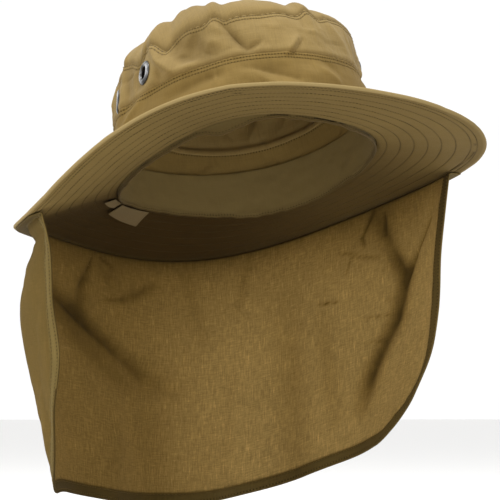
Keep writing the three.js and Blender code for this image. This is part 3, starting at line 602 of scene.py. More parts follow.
def shell(name, P, thick, material, wrap=True, pole=None, outer=0.0, inner=0.0, uv=None, tones=None, inner_tones=None, cut=None):
    """A closed cloth wall round the grid P of middle points, with round edges. outer and inner raise each skin.
    pole closes the last row on a point. cut marks the cells that are left out."""
    nr, nc = P.shape[:2]
    du, dv, n = frames(P, wrap)
    if pole is not None:
        last = unit(np.cross(du[-1], unit(pole - P[-1])))
        n[-1] = last
    h = np.broadcast_to(np.asarray(thick, float) / 2, (nr, nc))[..., None]
    up, down = P + n * (h + np.broadcast_to(outer, (nr, nc))[..., None]), P - n * (h + np.broadcast_to(inner, (nr, nc))[..., None])
    tones = {k: np.broadcast_to(v, (nr, nc)) for k, v in (tones or {}).items()}
    below = {k: np.broadcast_to((inner_tones or {}).get(k, v), (nr, nc)) for k, v in tones.items()}

    def rim(i, sign, first, second):
        mid, half = (first[i] + second[i]) / 2, (first[i] - second[i]) / 2
        size = np.linalg.norm(half, axis=-1, keepdims=True)
        return [mid + half * math.cos(f) + dv[i] * sign * size * math.sin(f) for f in (math.pi / 4, math.pi / 2, 3 * math.pi / 4)]

    if uv is None:
        uv = np.stack(np.meshgrid(np.arange(nc + 1) * 0.001, np.arange(nr) * 0.001), -1)
    elif uv.shape[1] == nc:
        uv = np.concatenate([uv, 2 * uv[:, -1:] - uv[:, -2:-1]], 1)
    if pole is None:
        rows = list(up) + rim(-1, 1, up, down) + list(down[::-1]) + rim(0, -1, down, up)
        uvs = list(uv) + [uv[-1]] * 3 + list(uv[::-1]) + [uv[0]] * 3
        tone = {k: list(v) + [v[-1]] * 3 + list(below[k][::-1]) + [v[0]] * 3 for k, v in tones.items()}
    else:
        rows = list(down[::-1]) + rim(0, -1, down, up) + list(up)
        uvs = list(uv[::-1]) + [uv[0]] * 3 + list(uv)
        tone = {k: list(below[k][::-1]) + [v[0]] * 3 + list(v) for k, v in tones.items()}
    rows, uvs = np.array(rows), np.array(uvs)
    tone = {k: np.array(v) for k, v in tone.items()}
    closed = pole is None
    m = len(rows)
    if not wrap:  # round the two end columns
        mid = np.concatenate([P, np.repeat(P[-1:], 3, 0), P[::-1], np.repeat(P[:1], 3, 0)])
        ends = []
        for j, sign in ((0, -1), (nc - 1, 1)):
            e = np.concatenate([du[:, j], np.repeat(du[-1:, j], 3, 0), du[::-1, j], np.repeat(du[:1, j], 3, 0)]) * sign
            half = rows[:, j] - mid[:, j]
            size = np.linalg.norm(half, axis=-1, keepdims=True)
            ends.append([mid[:, j] + half * math.cos(f) + e * size * math.sin(f) for f in (0.7, 1.15, 1.45)])
        rows = np.concatenate([np.stack(ends[0][::-1], 1), rows, np.stack(ends[1], 1)], 1)
        uvs = np.concatenate([np.repeat(uvs[:, :1], 3, 1), uvs[:, :nc], np.repeat(uvs[:, nc - 1:nc], 3, 1)], 1)
        tone = {k: np.concatenate([np.repeat(v[:, :1], 3, 1), v, np.repeat(v[:, -1:], 3, 1)], 1) for k, v in tone.items()}
        nc += 6
    verts = rows.reshape(-1, 3)
    i = np.arange(m if closed else m - 1)
    j = np.arange(nc if wrap else nc - 1)
    I, J = np.meshgrid(i, j, indexing="ij")
    I2, J2 = (I + 1) % m, (J + 1) % nc
    keep = np.ones(I.shape, bool)
    extra, extra_uv = [], []
    if cut is not None:
        keep[: nr - 1] &= ~cut
        first = nr + 3
        keep[first : first + nr - 1] &= ~cut[::-1]
        low = lambda r: first + nr - 1 - r
        for r, c in zip(*np.nonzero(~cut)):
            c2 = (c + 1) % nc
            around_it = (((r, c), (r, c2), r - 1, c), ((r, c2), (r + 1, c2), r, c2), ((r + 1, c2), (r + 1, c), r + 1, c), ((r + 1, c), (r, c), r, (c - 1) % nc)) if cut[max(r - 1, 0) : r + 2, [(c - 1) % nc, c, c2]].any() else ()
            for a, b, rr, cc in around_it:
                if 0 <= rr < nr - 1 and cut[rr, cc]:
                    extra.append([b[0] * nc + b[1], a[0] * nc + a[1], low(a[0]) * nc + a[1], low(b[0]) * nc + b[1]])
                    extra_uv.append([uvs[a[0], a[1]]] * 4)
    quads = np.stack([I * nc + J, I * nc + J2, I2 * nc + J2, I2 * nc + J], -1)[keep]
    Ju = J + 1 if wrap else J2
    quv = np.stack([uvs[I, J], uvs[I, Ju], uvs[I2, Ju], uvs[I2, J]], 2)[keep]
    faces, uv_out = [quads.reshape(-1, 4)], [quv.reshape(-1, 4, 2)]
    if extra:
        faces.append(np.array(extra))
        uv_out.append(np.array(extra_uv))
    if pole is not None:
        k = len(verts)
        half = float(h[-1, 0, 0])
        axis = unit(n[-1].mean(0))
        verts = np.concatenate([verts, [pole + axis * half, pole - axis * half]])
        tone = {key: np.concatenate([v.ravel(), [v[-1].mean(), v[0].mean()]]) for key, v in tone.items()}
        c = np.arange(nc)
        c2 = (c + 1) % nc
        faces += [np.stack([(m - 1) * nc + c, (m - 1) * nc + c2, np.full(nc, k)], -1), np.stack([c2, c, np.full(nc, k + 1)], -1)]
        uv_out += [np.stack([uvs[-1, c], uvs[-1, c + 1], uvs[-1, c]], 1), np.stack([uvs[0, c + 1], uvs[0, c], uvs[0, c]], 1)]
    if not wrap:
        r = np.arange(nr - 1)
        for col, flip in ((0, False), (nc - 1, True)):
            quad = np.stack([r * nc + col, (r + 1) * nc + col, (m - 4 - r - 1) * nc + col, (m - 4 - r) * nc + col], -1)
            faces.append(quad[:, ::-1] if flip else quad)
            uv_out.append(np.repeat(uvs[r, col][:, None], 4, 1))
            for ring in ([nr - 1, nr, nr + 1, nr + 2, nr + 3], [m - 4, m - 3, m - 2, m - 1, 0]):
                f = np.array([[q * nc + col for q in ring]])
                faces.append(f[:, ::-1] if flip else f)
                uv_out.append(np.repeat(uvs[ring[0], col][None, None], 5, 1))
    return new_object(name, verts, faces, uv_out, tone, material)


def path_on(point, a, lift):
    """Points over a surface along the angles a, with their directions: along, across and out. point(a, d) gives the surface, d across it."""
    p = point(a, 0.0)
    t = unit(point(a + 0.15, 0.0) - point(a - 0.15, 0.0))
    b = unit(point(a, 0.25) - point(a, -0.25))
    n = unit(np.cross(t, b))
    return p + n * lift, t, n


def stitch_count(p, closed, pitch):
    q = np.concatenate([p, p[:1]]) if closed else p
    return max(int(round(np.linalg.norm(np.diff(q, axis=0), axis=1).sum() / pitch)), 1)


def row_marks(d_of, rows, along, width=0.42):
    """The marks of stitch rows on a cloth: how near a point is to a row, and how many stitches along it. rows are (distance, count)."""
    near = sum(np.exp(-((d_of - d) / width) ** 2) for d, count in rows)
    nearest = np.argmin(np.stack([np.abs(d_of - d) + 0 * along for d, count in rows]), 0)
    return near + 0 * along, along * np.array([count for d, count in rows])[nearest]


def stitches(name, paths, material, pitch=2.2, length=1.7, radius=0.23, sides=4):
    """Rows of thread, each stitch a short bar that dips into the cloth at both ends. paths are (points, along, out, closed)."""
    centres, tangents, normals, lengths = [], [], [], []
    for p, t, n, closed in paths:
        q = np.concatenate([p, p[:1]]) if closed else p
        s = np.concatenate([[0], np.cumsum(np.linalg.norm(np.diff(q, axis=0), axis=1))])
        count = stitch_count(p, closed, pitch)
        at = np.interp((np.arange(count) + 0.5) / count * (len(q) - 1), np.arange(len(q)), s)
        for source, into in ((q, centres), (np.concatenate([t, t[:1]]) if closed else t, tangents), (np.concatenate([n, n[:1]]) if closed else n, normals)):
            into.append(np.stack([np.interp(at, s, source[:, k]) for k in range(3)], -1))
        lengths.append(np.full(count, length * s[-1] / count / pitch))
    c, t, n, l = np.concatenate(centres), unit(np.concatenate(tangents)), np.concatenate(normals), np.concatenate(lengths)
    b = unit(np.cross(n, t))
    n = np.cross(t, b)
    along = np.array([-0.5, -0.3, 0.3, 0.5])
    lift, size = np.array([-0.30, 0.06, 0.06, -0.30]), np.array([0.7, 1.0, 1.0, 0.7])
    f = np.arange(sides) * 2 * math.pi / sides
    V = (c[:, None, None] + t[:, None, None] * (l[:, None] * along)[:, :, None, None]
         + n[:, None, None] * (lift[:, None] + radius * size[:, None] * np.sin(f))[None, :, :, None]
         + b[:, None, None] * (radius * size[:, None] * np.cos(f))[None, :, :, None])
    k = len(c)
    base = np.arange(k)[:, None, None] * 4 * sides
    r, q = np.meshgrid(np.arange(3), np.arange(sides), indexing="ij")
    one = np.stack([r * sides + q, (r + 1) * sides + q, (r + 1) * sides + (q + 1) % sides, r * sides + (q + 1) % sides], -1).reshape(-1, 4)
    quads = (base + one).reshape(-1, 4)
    caps = (base[:, 0] + np.stack([np.arange(sides), 3 * sides + np.arange(sides)[::-1]])[:, None].reshape(2, sides)[None].repeat(k, 0).transpose(1, 0, 2)).transpose(1, 0, 2).reshape(-1, sides)
    uv = [np.zeros((len(quads), 4, 2)), np.zeros((len(caps), sides, 2))]
    return new_object(name, V.reshape(-1, 3), [quads, caps], uv, {}, material)


def lines(low, high, step, marks=(), fine=0.4, reach=1.3):
    """Row positions from low to high about a step apart, close together at each mark."""
    found = [*np.arange(low, high + 0.01, (high - low) / max(1, round((high - low) / step)))]
    for m in marks:
        found = [x for x in found if abs(x - m) > reach or x in (low, high)]
        found += [m + d for d in np.arange(-reach, reach + 0.01, fine) if low + 0.15 < m + d < high - 0.15]
    found = sorted(found)
    kept = [found[0]]
    for x in found[1:]:
        if x - kept[-1] > fine * 0.55:
            kept.append(x)
    kept[-1] = high
    return np.array(kept)


def groove(d, depth=0.3, width=0.6):
    return -depth * np.exp(-(d / width) ** 2)


# --- materials
def material(name, build):
    m = bpy.data.materials.new(name)
    m.use_nodes = True
    tree = m.node_tree
    tree.nodes.clear()
    out = tree.nodes.new("ShaderNodeOutputMaterial")

    def node(kind, inputs=None, **settings):
        n = tree.nodes.new(kind)
        for k, v in settings.items():
            setattr(n, k, v)
        for k, v in (inputs or {}).items():
            if isinstance(v, bpy.types.NodeSocket):
                tree.links.new(v, n.inputs[k])
            else:
                n.inputs[k].default_value = v
        return n

    tree.links.new(build(node, tree), out.inputs["Surface"])
    return m


def math_node(node, kind, a, b=0.0, c=None):
    n = node("ShaderNodeMath", {0: a, 1: b}, operation=kind)
    if c is not None:
        n.inputs[2].default_value = c
    return n.outputs[0]


def mixed(node, factor, a, b, blend="MIX"):
    n = node("ShaderNodeMix", data_type="RGBA", blend_type=blend)
    tree = n.id_data
    for k, v in ((0, factor), (6, a), (7, b)):
        if isinstance(v, bpy.types.NodeSocket):
            tree.links.new(v, n.inputs[k])
        else:
            n.inputs[k].default_value = v if k == 0 else (*v, 1)[:4]
    return n.outputs[2]


def cloth(name, base, deep, pitch=0.00042, weave=0.5, slub=0.10, blotch=0.06, rough=0.8, sheen=0.14, gloss=0.42, holes=0.06, through=0.0, through_colour=None, through_deep=None, bump_size=0.00010, twill=False, rows=True, dents=False):
    """Woven cotton: the tone attribute mixes from deep, the colour of painted shade in creases and shaded places, to
    base. through is the share of light that passes it.
    """

    def build(node, tree):
        uv = node("ShaderNodeUVMap", uv_map="Cloth").outputs[0]
        xyz = node("ShaderNodeSeparateXYZ", {0: uv})
        u, v = xyz.outputs[0], xyz.outputs[1]
        w = 2 * math.pi / (2 * pitch)
        if twill:
            diagonal = math_node(node, "ADD", u, v)
            threads = math_node(node, "MULTIPLY", math_node(node, "SINE", math_node(node, "MULTIPLY", diagonal, w)), math_node(node, "SINE", math_node(node, "MULTIPLY", u, 2 * w)))
        else:
            threads = math_node(node, "MULTIPLY", math_node(node, "SINE", math_node(node, "MULTIPLY", u, w)), math_node(node, "SINE", math_node(node, "MULTIPLY", v, w)))

        def streaks(su, sv, detail=3.0):
            at = node("ShaderNodeCombineXYZ", {0: math_node(node, "MULTIPLY", u, su), 1: math_node(node, "MULTIPLY", v, sv)}).outputs[0]
            return node("ShaderNodeTexNoise", {"Vector": at, "Scale": 1.0, "Detail": detail, "Roughness": 0.6}).outputs[0]

        warp, weft = streaks(1.0 / 0.0009, 1.0 / 0.016), streaks(1.0 / 0.015, 1.0 / 0.0008)
        yarn = math_node(node, "ADD", math_node(node, "MULTIPLY", math_node(node, "SUBTRACT", warp, 0.5), 2 * slub), math_node(node, "MULTIPLY", math_node(node, "SUBTRACT", weft, 0.5), 1.6 * slub))
        place = node("ShaderNodeTexCoord").outputs["Object"]
        wide = node("ShaderNodeTexNoise", {"Vector": place, "Scale": 22.0, "Detail": 4.0, "Roughness": 0.55}).outputs[0]
        fuzz = node("ShaderNodeTexNoise", {"Vector": place, "Scale": 900.0, "Detail": 2.0, "Roughness": 0.6}).outputs[0]
        value = math_node(node, "ADD", math_node(node, "ADD", yarn, 1.0), math_node(node, "MULTIPLY", math_node(node, "SUBTRACT", wide, 0.5), 2 * blotch))
        value = math_node(node, "ADD", value, math_node(node, "MULTIPLY", math_node(node, "SUBTRACT", fuzz, 0.5), 0.10))
        value = math_node(node, "ADD", value, math_node(node, "MULTIPLY", threads, 0.035 * weave))
        tone = node("ShaderNodeAttribute", attribute_name="tone", attribute_type="GEOMETRY").outputs["Fac"]
        colour = mixed(node, tone, deep, base)
        grey = node("ShaderNodeCombineColor", {0: value, 1: value, 2: value}).outputs[0]
        colour = mixed(node, 1.0, colour, grey, "MULTIPLY")
        if rows:  # painted shade in the needle holes and dents along a row of stitches
            row = node("ShaderNodeAttribute", attribute_name="row", attribute_type="GEOMETRY").outputs["Fac"]
            run = node("ShaderNodeAttribute", attribute_name="run", attribute_type="GEOMETRY").outputs["Fac"]
            off = math_node(node, "ABSOLUTE", math_node(node, "SUBTRACT", math_node(node, "FRACT", run), 0.5))
            ends = {1: 0.28, 2: 0.42, 3: 0.85, 4: 0.05} if dents else {1: 0.20, 2: 0.36, 3: holes, 4: 1.0}
            hole = node("ShaderNodeMapRange", {0: off, **ends}, interpolation_type="SMOOTHSTEP").outputs[0]
            colour = mixed(node, math_node(node, "MULTIPLY", row, hole), colour, tuple(0.42 * x for x in deep))
        if dents:  # painted highlight: the rim is paler
            rim_highlight = node("ShaderNodeAttribute", attribute_name="rim", attribute_type="GEOMETRY").outputs["Fac"]
            colour = mixed(node, rim_highlight, colour, (0.37, 0.272, 0.118))
        if through:  # where less light passes, the near side is in its own shade
            # This attribute carries the hem, the doubled folds and the painted shade; more of it lets less light
            # through and darkens the near side.
            hem_and_shade = node("ShaderNodeAttribute", attribute_name="hem_and_shade", attribute_type="GEOMETRY").outputs["Fac"]
            dim = math_node(node, "SUBTRACT", 1.0, math_node(node, "MULTIPLY", hem_and_shade, 0.34))
            colour = mixed(node, 1.0, colour, node("ShaderNodeCombineColor", {0: dim, 1: dim, 2: dim}).outputs[0], "MULTIPLY")
        height = math_node(node, "ADD", math_node(node, "MULTIPLY", threads, weave), math_node(node, "ADD", math_node(node, "MULTIPLY", warp, 1.1 + 6 * slub), math_node(node, "ADD", math_node(node, "MULTIPLY", weft, 0.9 + 6 * slub), math_node(node, "MULTIPLY", fuzz, 0.9))))
        bump = node("ShaderNodeBump", {"Height": height, "Strength": 0.55, "Distance": bump_size}).outputs[0]
        face = node("ShaderNodeBsdfPrincipled", {"Base Color": colour, "Roughness": rough, "Specular IOR Level": gloss, "Sheen Weight": sheen, "Sheen Roughness": 0.5, "Sheen Tint": (0.98, 0.92, 0.76, 1), "Normal": bump})
        if not through:
            return face.outputs[0]
        open_warp, open_weft = streaks(1.0 / 0.0008, 1.0 / 0.0090, 2.0), streaks(1.0 / 0.0070, 1.0 / 0.0008, 2.0)
        gaps = math_node(node, "ADD", math_node(node, "MULTIPLY", math_node(node, "SUBTRACT", open_warp, 0.5), 0.85), math_node(node, "MULTIPLY", math_node(node, "SUBTRACT", open_weft, 0.5), 0.65))
        thick_warp, thick_weft = streaks(1.0 / 0.0014, 1.0 / 0.013, 2.0), streaks(1.0 / 0.011, 1.0 / 0.0013, 2.0)
        for yarns, size in ((thick_warp, 0.26), (thick_weft, 0.16)):  # a few loose yarns let more light through
            gaps = math_node(node, "ADD", gaps, node("ShaderNodeMapRange", {0: yarns, 1: 0.56, 2: 0.72, 3: 0.0, 4: size}).outputs[0])
        gaps = math_node(node, "ADD", gaps, math_node(node, "MULTIPLY", math_node(node, "SUBTRACT", fuzz, 0.5), 0.3))
        inside = node("ShaderNodeAttribute", attribute_name="inside", attribute_type="GEOMETRY").outputs["Fac"]
        gaps = math_node(node, "MULTIPLY", gaps, inside)
        lit = math_node(node, "ADD", math_node(node, "ADD", 1.0, gaps), math_node(node, "MULTIPLY", math_node(node, "SUBTRACT", wide, 0.5), 0.2))
        tinted = mixed(node, 1.0, mixed(node, hem_and_shade, through_colour, through_deep), node("ShaderNodeCombineColor", {0: lit, 1: lit, 2: lit}).outputs[0], "MULTIPLY")
        back = node("ShaderNodeBsdfTranslucent", {"Color": tinted, "Normal": bump})
        share = math_node(node, "MULTIPLY", math_node(node, "SUBTRACT", 1.0, hem_and_shade), through)
        share = math_node(node, "MULTIPLY", share, math_node(node, "ADD", 1.0, math_node(node, "MULTIPLY", gaps, 0.5)))
        return node("ShaderNodeMixShader", {0: share, 1: face.outputs[0], 2: back.outputs[0]}).outputs[0]

    return material(name, build)


def thread(name, colour):
    def build(node, tree):
        place = node("ShaderNodeTexCoord").outputs["Object"]
        twist = node("ShaderNodeTexNoise", {"Vector": place, "Scale": 2600.0, "Detail": 2.0}).outputs[0]
        wide = node("ShaderNodeTexNoise", {"Vector": place, "Scale": 60.0, "Detail": 2.0}).outputs[0]
        shade = mixed(node, twist, tuple(0.72 * x for x in colour), tuple(1.18 * x for x in colour))
        shade = mixed(node, math_node(node, "MULTIPLY", wide, 0.3), shade, tuple(0.8 * x for x in colour))
        bump = node("ShaderNodeBump", {"Height": twist, "Strength": 0.5, "Distance": 0.00008}).outputs[0]
        return node("ShaderNodeBsdfPrincipled", {"Base Color": shade, "Roughness": 0.7, "Specular IOR Level": 0.15, "Sheen Weight": 0.0, "Normal": bump}).outputs[0]

    return material(name, build)


def nickel(name):
    def build(node, tree):
        place = node("ShaderNodeTexCoord").outputs["Object"]
        wear = node("ShaderNodeTexNoise", {"Vector": place, "Scale": 260.0, "Detail": 5.0, "Roughness": 0.65}).outputs[0]
        fine = node("ShaderNodeTexNoise", {"Vector": place, "Scale": 1900.0, "Detail": 2.0}).outputs[0]
        tone = node("ShaderNodeAttribute", attribute_name="tone", attribute_type="GEOMETRY").outputs["Fac"]
        colour = mixed(node, node("ShaderNodeMapRange", {0: wear, 1: 0.36, 2: 0.56, 3: 0.0, 4: 1.0}).outputs[0], (0.26, 0.257, 0.25), (0.86, 0.86, 0.87))
        # The tone attribute paints highlight and shade on the eyelet: low tone turns the metal nearly black.
        colour = mixed(node, tone, (0.05, 0.047, 0.043), colour)
        rough = node("ShaderNodeMapRange", {0: wear, 1: 0.3, 2: 0.7, 3: 0.12, 4: 0.27}).outputs[0]
        bump = node("ShaderNodeBump", {"Height": fine, "Strength": 0.12, "Distance": 0.00005}).outputs[0]
        return node("ShaderNodeBsdfPrincipled", {"Base Color": colour, "Metallic": 1.0, "Roughness": rough, "Normal": bump}).outputs[0]

    return material(name, build)


KHAKI, KHAKI_DEEP = (0.285, 0.194, 0.064), (0.12, 0.072, 0.016)
khaki = cloth("khaki_cotton_cloth", KHAKI, KHAKI_DEEP, slub=0.17, blotch=0.18, sheen=0.08, gloss=0.26)
# The band's cloth is a darker, less glossy copy of the crown's khaki: painted shade.
band_khaki = cloth("band_cotton_cloth", (0.247, 0.162, 0.047), (0.10, 0.058, 0.011), slub=0.16, blotch=0.18, sheen=0.03, gloss=0.14)
brim_khaki = cloth("brim_cotton_cloth", (0.275, 0.188, 0.060), (0.048, 0.0262, 0.0058), slub=0.10, blotch=0.12, sheen=0.02, gloss=0.09, dents=True)
band_gold = cloth("sweatband_cotton_cloth", (0.21, 0.148, 0.050), (0.09, 0.056, 0.014), slub=0.07, sheen=0.06, gloss=0.2, twill=True)
flap_khaki = cloth("flap_cotton_cloth", (0.287, 0.202, 0.062), (0.085, 0.050, 0.010), pitch=0.0006, weave=0.85, slub=0.26, blotch=0.16, sheen=0.03, gloss=0.10, through=0.60, through_colour=(0.72, 0.580, 0.335), through_deep=(0.64, 0.43, 0.12), bump_size=0.00014)
label_cloth = cloth("label_woven_cloth", (0.190, 0.136, 0.062), (0.11, 0.076, 0.034), pitch=0.0005, slub=0.06, sheen=0.04, gloss=0.2, rows=False)
thread_khaki = thread("khaki_thread", (0.225, 0.150, 0.042))
thread_brim = thread("brim_thread", (0.092, 0.062, 0.020))
nickel_metal = nickel("eyelet_nickel_metal")


def place(obj, slot, *nodes):
    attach(obj, "root")
    if nodes:
        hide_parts(*nodes)
    return obj


def ring(n):
    return -180 + 360 * np.arange(n) / n


# --- crown
N = 640
A = ring(N)[None, :]
ROUND = 0.59  # metres of cloth round the crown

fine_a = np.arange(-180, 180, 0.1)
BAND_ROWS, TOP_ROWS = (1.2, 3.6), (1.1, 3.4)
band_paths = [(*path_on(lambda a, e: band_point(a, band_top(a) - d + e), fine_a, 0.75 + 0.02), True) for d in BAND_ROWS]
top_paths = [(*path_on(lambda a, e: side_point(a, 1 - (d - e) / (side_top(a) - band_top(a)), -0.45 * np.exp(-((d - e) / 0.9) ** 2)), fine_a, 0.65 + 0.02), True) for d in TOP_ROWS]
PITCH = 2.3
turn_share = (A + 180) / 360


def fold_shading(a, h, share=0.12, most=0.46):
    """Painted shade in the valleys of the folds and painted light on their crests."""
    return np.clip(share * wall_folds(a, h), -most, 0.12)


# Band, from the brim up to its seam.
D = lines(0.0, 46.2, 1.7, (1.2, 3.6), 0.4, 1.1)[::-1]  # below the top edge
h = 1.75 + (band_top(A) - 0.15 - 1.75) * (1 - D[:, None] / 46.2)
depth = band_top(A) - h
lip = 0.35 * np.exp(-((depth - 0.6) / 0.9) ** 2)
P = band_point(A + 0 * h, h)
skin = groove(depth - 1.2, 0.16, 0.45) + groove(depth - 3.6, 0.14, 0.45) + lip
# Painted shade: darker in the stitch grooves, towards the brim, a little all over, on the front of each side and in the
# fold valleys, with painted light on the fold crests.
tone = 1 - 0.05 * np.exp(-((depth - 1.2) / 0.6) ** 2) - 0.05 * np.exp(-((depth - 3.6) / 0.6) ** 2) - 0.30 * np.exp(-(h - 1.7) / 2.5) - 0.07 - 0.16 * smooth((A - 18) / 12) * smooth((90 - A) / 40) - 0.10 * smooth((-28 - A) / 8) * smooth((A + 110) / 40) + fold_shading(A + 0 * h, h, 0.085, 0.30)
row, run = row_marks(depth, [(d, stitch_count(q[0], True, PITCH)) for d, q in zip(BAND_ROWS, band_paths)], turn_share)
uv = np.stack([np.broadcast_to((A + 180) / 360 * ROUND, h.shape), h * MM], -1)
band = place(shell("crown_band_cloth", P, 1.5, band_khaki, outer=skin, uv=uv, tones={"tone": tone, "row": row, "run": run}), "khaki_cotton", "crown_band")

# Side panel: its lower edge is turned in behind the band, with the eyelet holes.
U = lines(-3.0, 29.9, 1.25, (26.6, 28.9), 0.4, 0.9)
u = U[:, None] / 30.0
low, high = band_top(A), side_top(A)
hh = low + (high - low) * u
up, to_top = hh - low, high - hh
tuck = -1.75 * (1 - smooth((up + 0.4) / 2.2)) + 0.75 * np.exp(-((up - 3.2) / 2.4) ** 2)
close = -0.45 * np.exp(-(to_top / 0.9) ** 2)
P = side_point(A + 0 * u, u + 0 * A, tuck + close)
skin = groove(to_top - 1.1, 0.14, 0.45) + groove(to_top - 3.4, 0.12, 0.45)
# Painted shade: darker in the seam over the band, in the stitch grooves, behind the front eyelet on the wearer's right
# and in the fold valleys; painted light in a patch in front of that eyelet and on the fold crests.
tone = 1 - 0.5 * np.exp(-((up - 0.2) / 0.8) ** 2) - 0.04 * np.exp(-((to_top - 1.1) / 0.6) ** 2) - 0.04 * np.exp(-((to_top - 3.4) / 0.6) ** 2) - 0.12 * smooth((-66 - A) / 7) * smooth((A + 130) / 30) + 0.08 * np.exp(-((A + 50) / 8) ** 2 - ((hh - 60) / 9) ** 2) + fold_shading(A + 0 * hh, hh)
row, run = row_marks(to_top, [(d, stitch_count(q[0], True, PITCH)) for d, q in zip(TOP_ROWS, top_paths)], turn_share)
cells = np.zeros((len(U) - 1, N), bool)
for name in EYELETS:
    angle, eh = eyelet_at(name)
    mid_h, mid_a = (hh[1:] + hh[:-1]) / 2, A + 180 / N
    cells |= np.hypot(turn_from(mid_a, angle) * 1.56, mid_h - eh) < 5.6
uv = np.stack([np.broadcast_to((A + 180) / 360 * ROUND, hh.shape), hh * MM], -1)
side = place(shell("crown_side_cloth", P, 1.3, khaki, outer=skin, uv=uv, tones={"tone": tone, "row": row, "run": run}, cut=cells), "khaki_cotton", "crown_side")

# Top panel, puffed over its seam.
T = np.concatenate([[0.0, 0.003, 0.008, 0.015, 0.024, 0.035, 0.05, 0.068], np.linspace(0.09, 0.975, 36)])[:, None]
A3 = ring(520)[None, :]
puff = -0.35 * np.exp(-(T / 0.006) ** 2) + 0.3 * np.exp(-((T - 0.03) / 0.02) ** 2)
P = top_point(A3 + 0 * T, T + 0 * A3, puff)
pole = top_point(np.array(0.0), np.array(1.0))
# Painted shade: darker in the seam and towards the front on the wearer's right.
tone = 0.95 - 0.4 * np.exp(-(T / 0.008) ** 2) - 0.10 * smooth((A3 + 90) / 30) * smooth((-10 - A3) / 30)
xy = np.stack([P[..., 0], P[..., 1]], -1) * MM
top = place(shell("crown_top_cloth", P, 1.3, khaki, pole=pole, uv=xy, tones={"tone": tone, "row": 0 * tone, "run": 0 * tone}), "khaki_cotton", "crown_top")

crown_thread = place(stitches("crown_stitches", band_paths + top_paths, thread_khaki, PITCH, 1.6, 0.22), "khaki_cotton")

# --- brim
A4 = ring(560)[None, :]
ROWS = (*BRIM_ROWS, 67.6)
W = lines(-0.8, 74.0 - 1.0, 2.2, ROWS, 0.32, 0.96)[:, None]
P = brim_point(A4 + 0 * W, W + 0 * A4)
wob = 0.16 * lattice((A4 + 180) / 360 + 0 * W, W / 74 + 0 * A4, 60, 8, 61) + 0.10 * lattice((A4 + 180) / 360 + 0 * W, W / 74 + 0 * A4, 150, 24, 62)
quilt = sum(groove(W - r, 0.26, 0.55) for r in ROWS) + 0 * A4
under, over = [], []
for r in ROWS:
    under.append((*path_on(lambda a, e: brim_point(a, r + e), fine_a, 1.0 - 0.24), True))
    p, t, n = path_on(lambda a, e: brim_point(a, r + e), fine_a, -(1.0 - 0.24))
    over.append((p, t, -n, True))
BRIM_PITCH = 2.6
BAR_TACKS = ((68, 66.5, 88.5, 63.6), (59.5, 66.6, 61.5, 66.0), (-112, 67.4, -114.5, 66.8), (-126.5, 71.4, -132, 73.0), (-23, 58.2, -21, 57.2))
row, run = row_marks(W + 0 * A4, [(r, stitch_count(q[0], True, BRIM_PITCH)) for r, q in zip(ROWS, under)], (A4 + 180) / 360 + 0 * W, 0.44)
front_left = smooth((A4 - 12) / 34)
aside = np.maximum(front_left, 0.8 * smooth((-A4 - 44) / 24))
row = row * (1 - 0.5 * aside)
# Painted shade in the quilting rows, on both sides of the brim, weaker at the sides of the hat.
tone = 1 - (1 - 0.6 * aside) * sum(0.15 * np.exp(-((W - r) / 0.6) ** 2) for r in ROWS)
# Underneath, painted shade: the cloth is darker than on top, and darker still towards the head and towards the neck.
round_right = (-A4) % 360
left_back, right_back = smooth((310 - round_right) / 60) * smooth((round_right - 120) / 60), smooth((round_right - 85) / 35) * (1 - smooth((round_right - 180) / 60))
inward = smooth((60 - W) / 60)
tone_under = tone * (0.61 + 0.07 * smooth((A4 - 5) / 30) - 0.26 * left_back - 0.20 * inward * smooth((np.abs(A4 - 10) - 20) / 50))
tone_under = tone_under * (1 - 0.85 * right_back * smooth((68 - W) / 8)) * (1 - 0.4 * smooth((np.abs(A4) - 120) / 40))
# On the wearer's right, painted light brightens the underside as far as the line where the hanging flap covers it, and
# painted shadow lies beyond that line.
flap_shadow_line = -105.5 - 12 * np.exp(-W / 12) + 16 * smooth((W - 48) / 15)
painted_light = np.maximum(0.5 * (1 - smooth((A4 + 92) / 18)), smooth((-A4 - 36) / 20) * (0.20 + 0.18 * smooth((52 - W) / 24)))
tone_under = tone_under * (1 + painted_light * smooth((A4 - flap_shadow_line) / 2.6))
for a0, w0, a1, w1 in BAR_TACKS:  # painted shade where the cloth is pressed in along the short rows
    x, dx, dy = turn_from(A4, a0) * 2.75, (a1 - a0) * 2.75, w1 - w0
    t = np.clip((x * dx + (W - w0) * dy) / (dx * dx + dy * dy), 0, 1)
    tone_under = tone_under * (1 - 0.55 * np.exp(-(np.hypot(x - t * dx, W - w0 - t * dy) / 0.8) ** 2))
# Painted highlight on the rim: its rows take full tone, less at the front left, and the rim attribute makes them paler.
tone_under = np.where(W > 72.3, 1.0 - 0.34 * front_left, tone_under)
uv = np.stack([np.broadcast_to((A4 + 180) / 360 * 0.85, P.shape[:2]), np.broadcast_to(W * MM, P.shape[:2])], -1)
brim = place(shell("brim_cloth", P, 2.0, brim_khaki, outer=quilt + wob, inner=quilt - wob, uv=uv, tones={"tone": tone_under, "row": row, "run": run, "rim": 0.85 * smooth((W - 72.2) / 0.7) * (1 - 0.6 * front_left)}, inner_tones={"tone": tone}), "brim_cotton", "brim")
for ends in BAR_TACKS:  # short rows that hold the flap's two ends
    share = np.linspace(0, 1, 120)
    line = lambda d: brim_point(ends[0] * (1 - share) + ends[2] * share, ends[1] * (1 - share) + ends[3] * share, d)
    t = unit(np.gradient(line(1.0), axis=0))
    under.append((line(1.02), t, unit(line(2.0) - line(1.0)), False))
brim_under = place(stitches("brim_stitches_under", under, thread_brim, BRIM_PITCH, 1.9, 0.21), "brim_cotton")
brim_over = place(stitches("brim_stitches_over", over, thread_khaki, BRIM_PITCH, 1.9, 0.21), "brim_cotton")

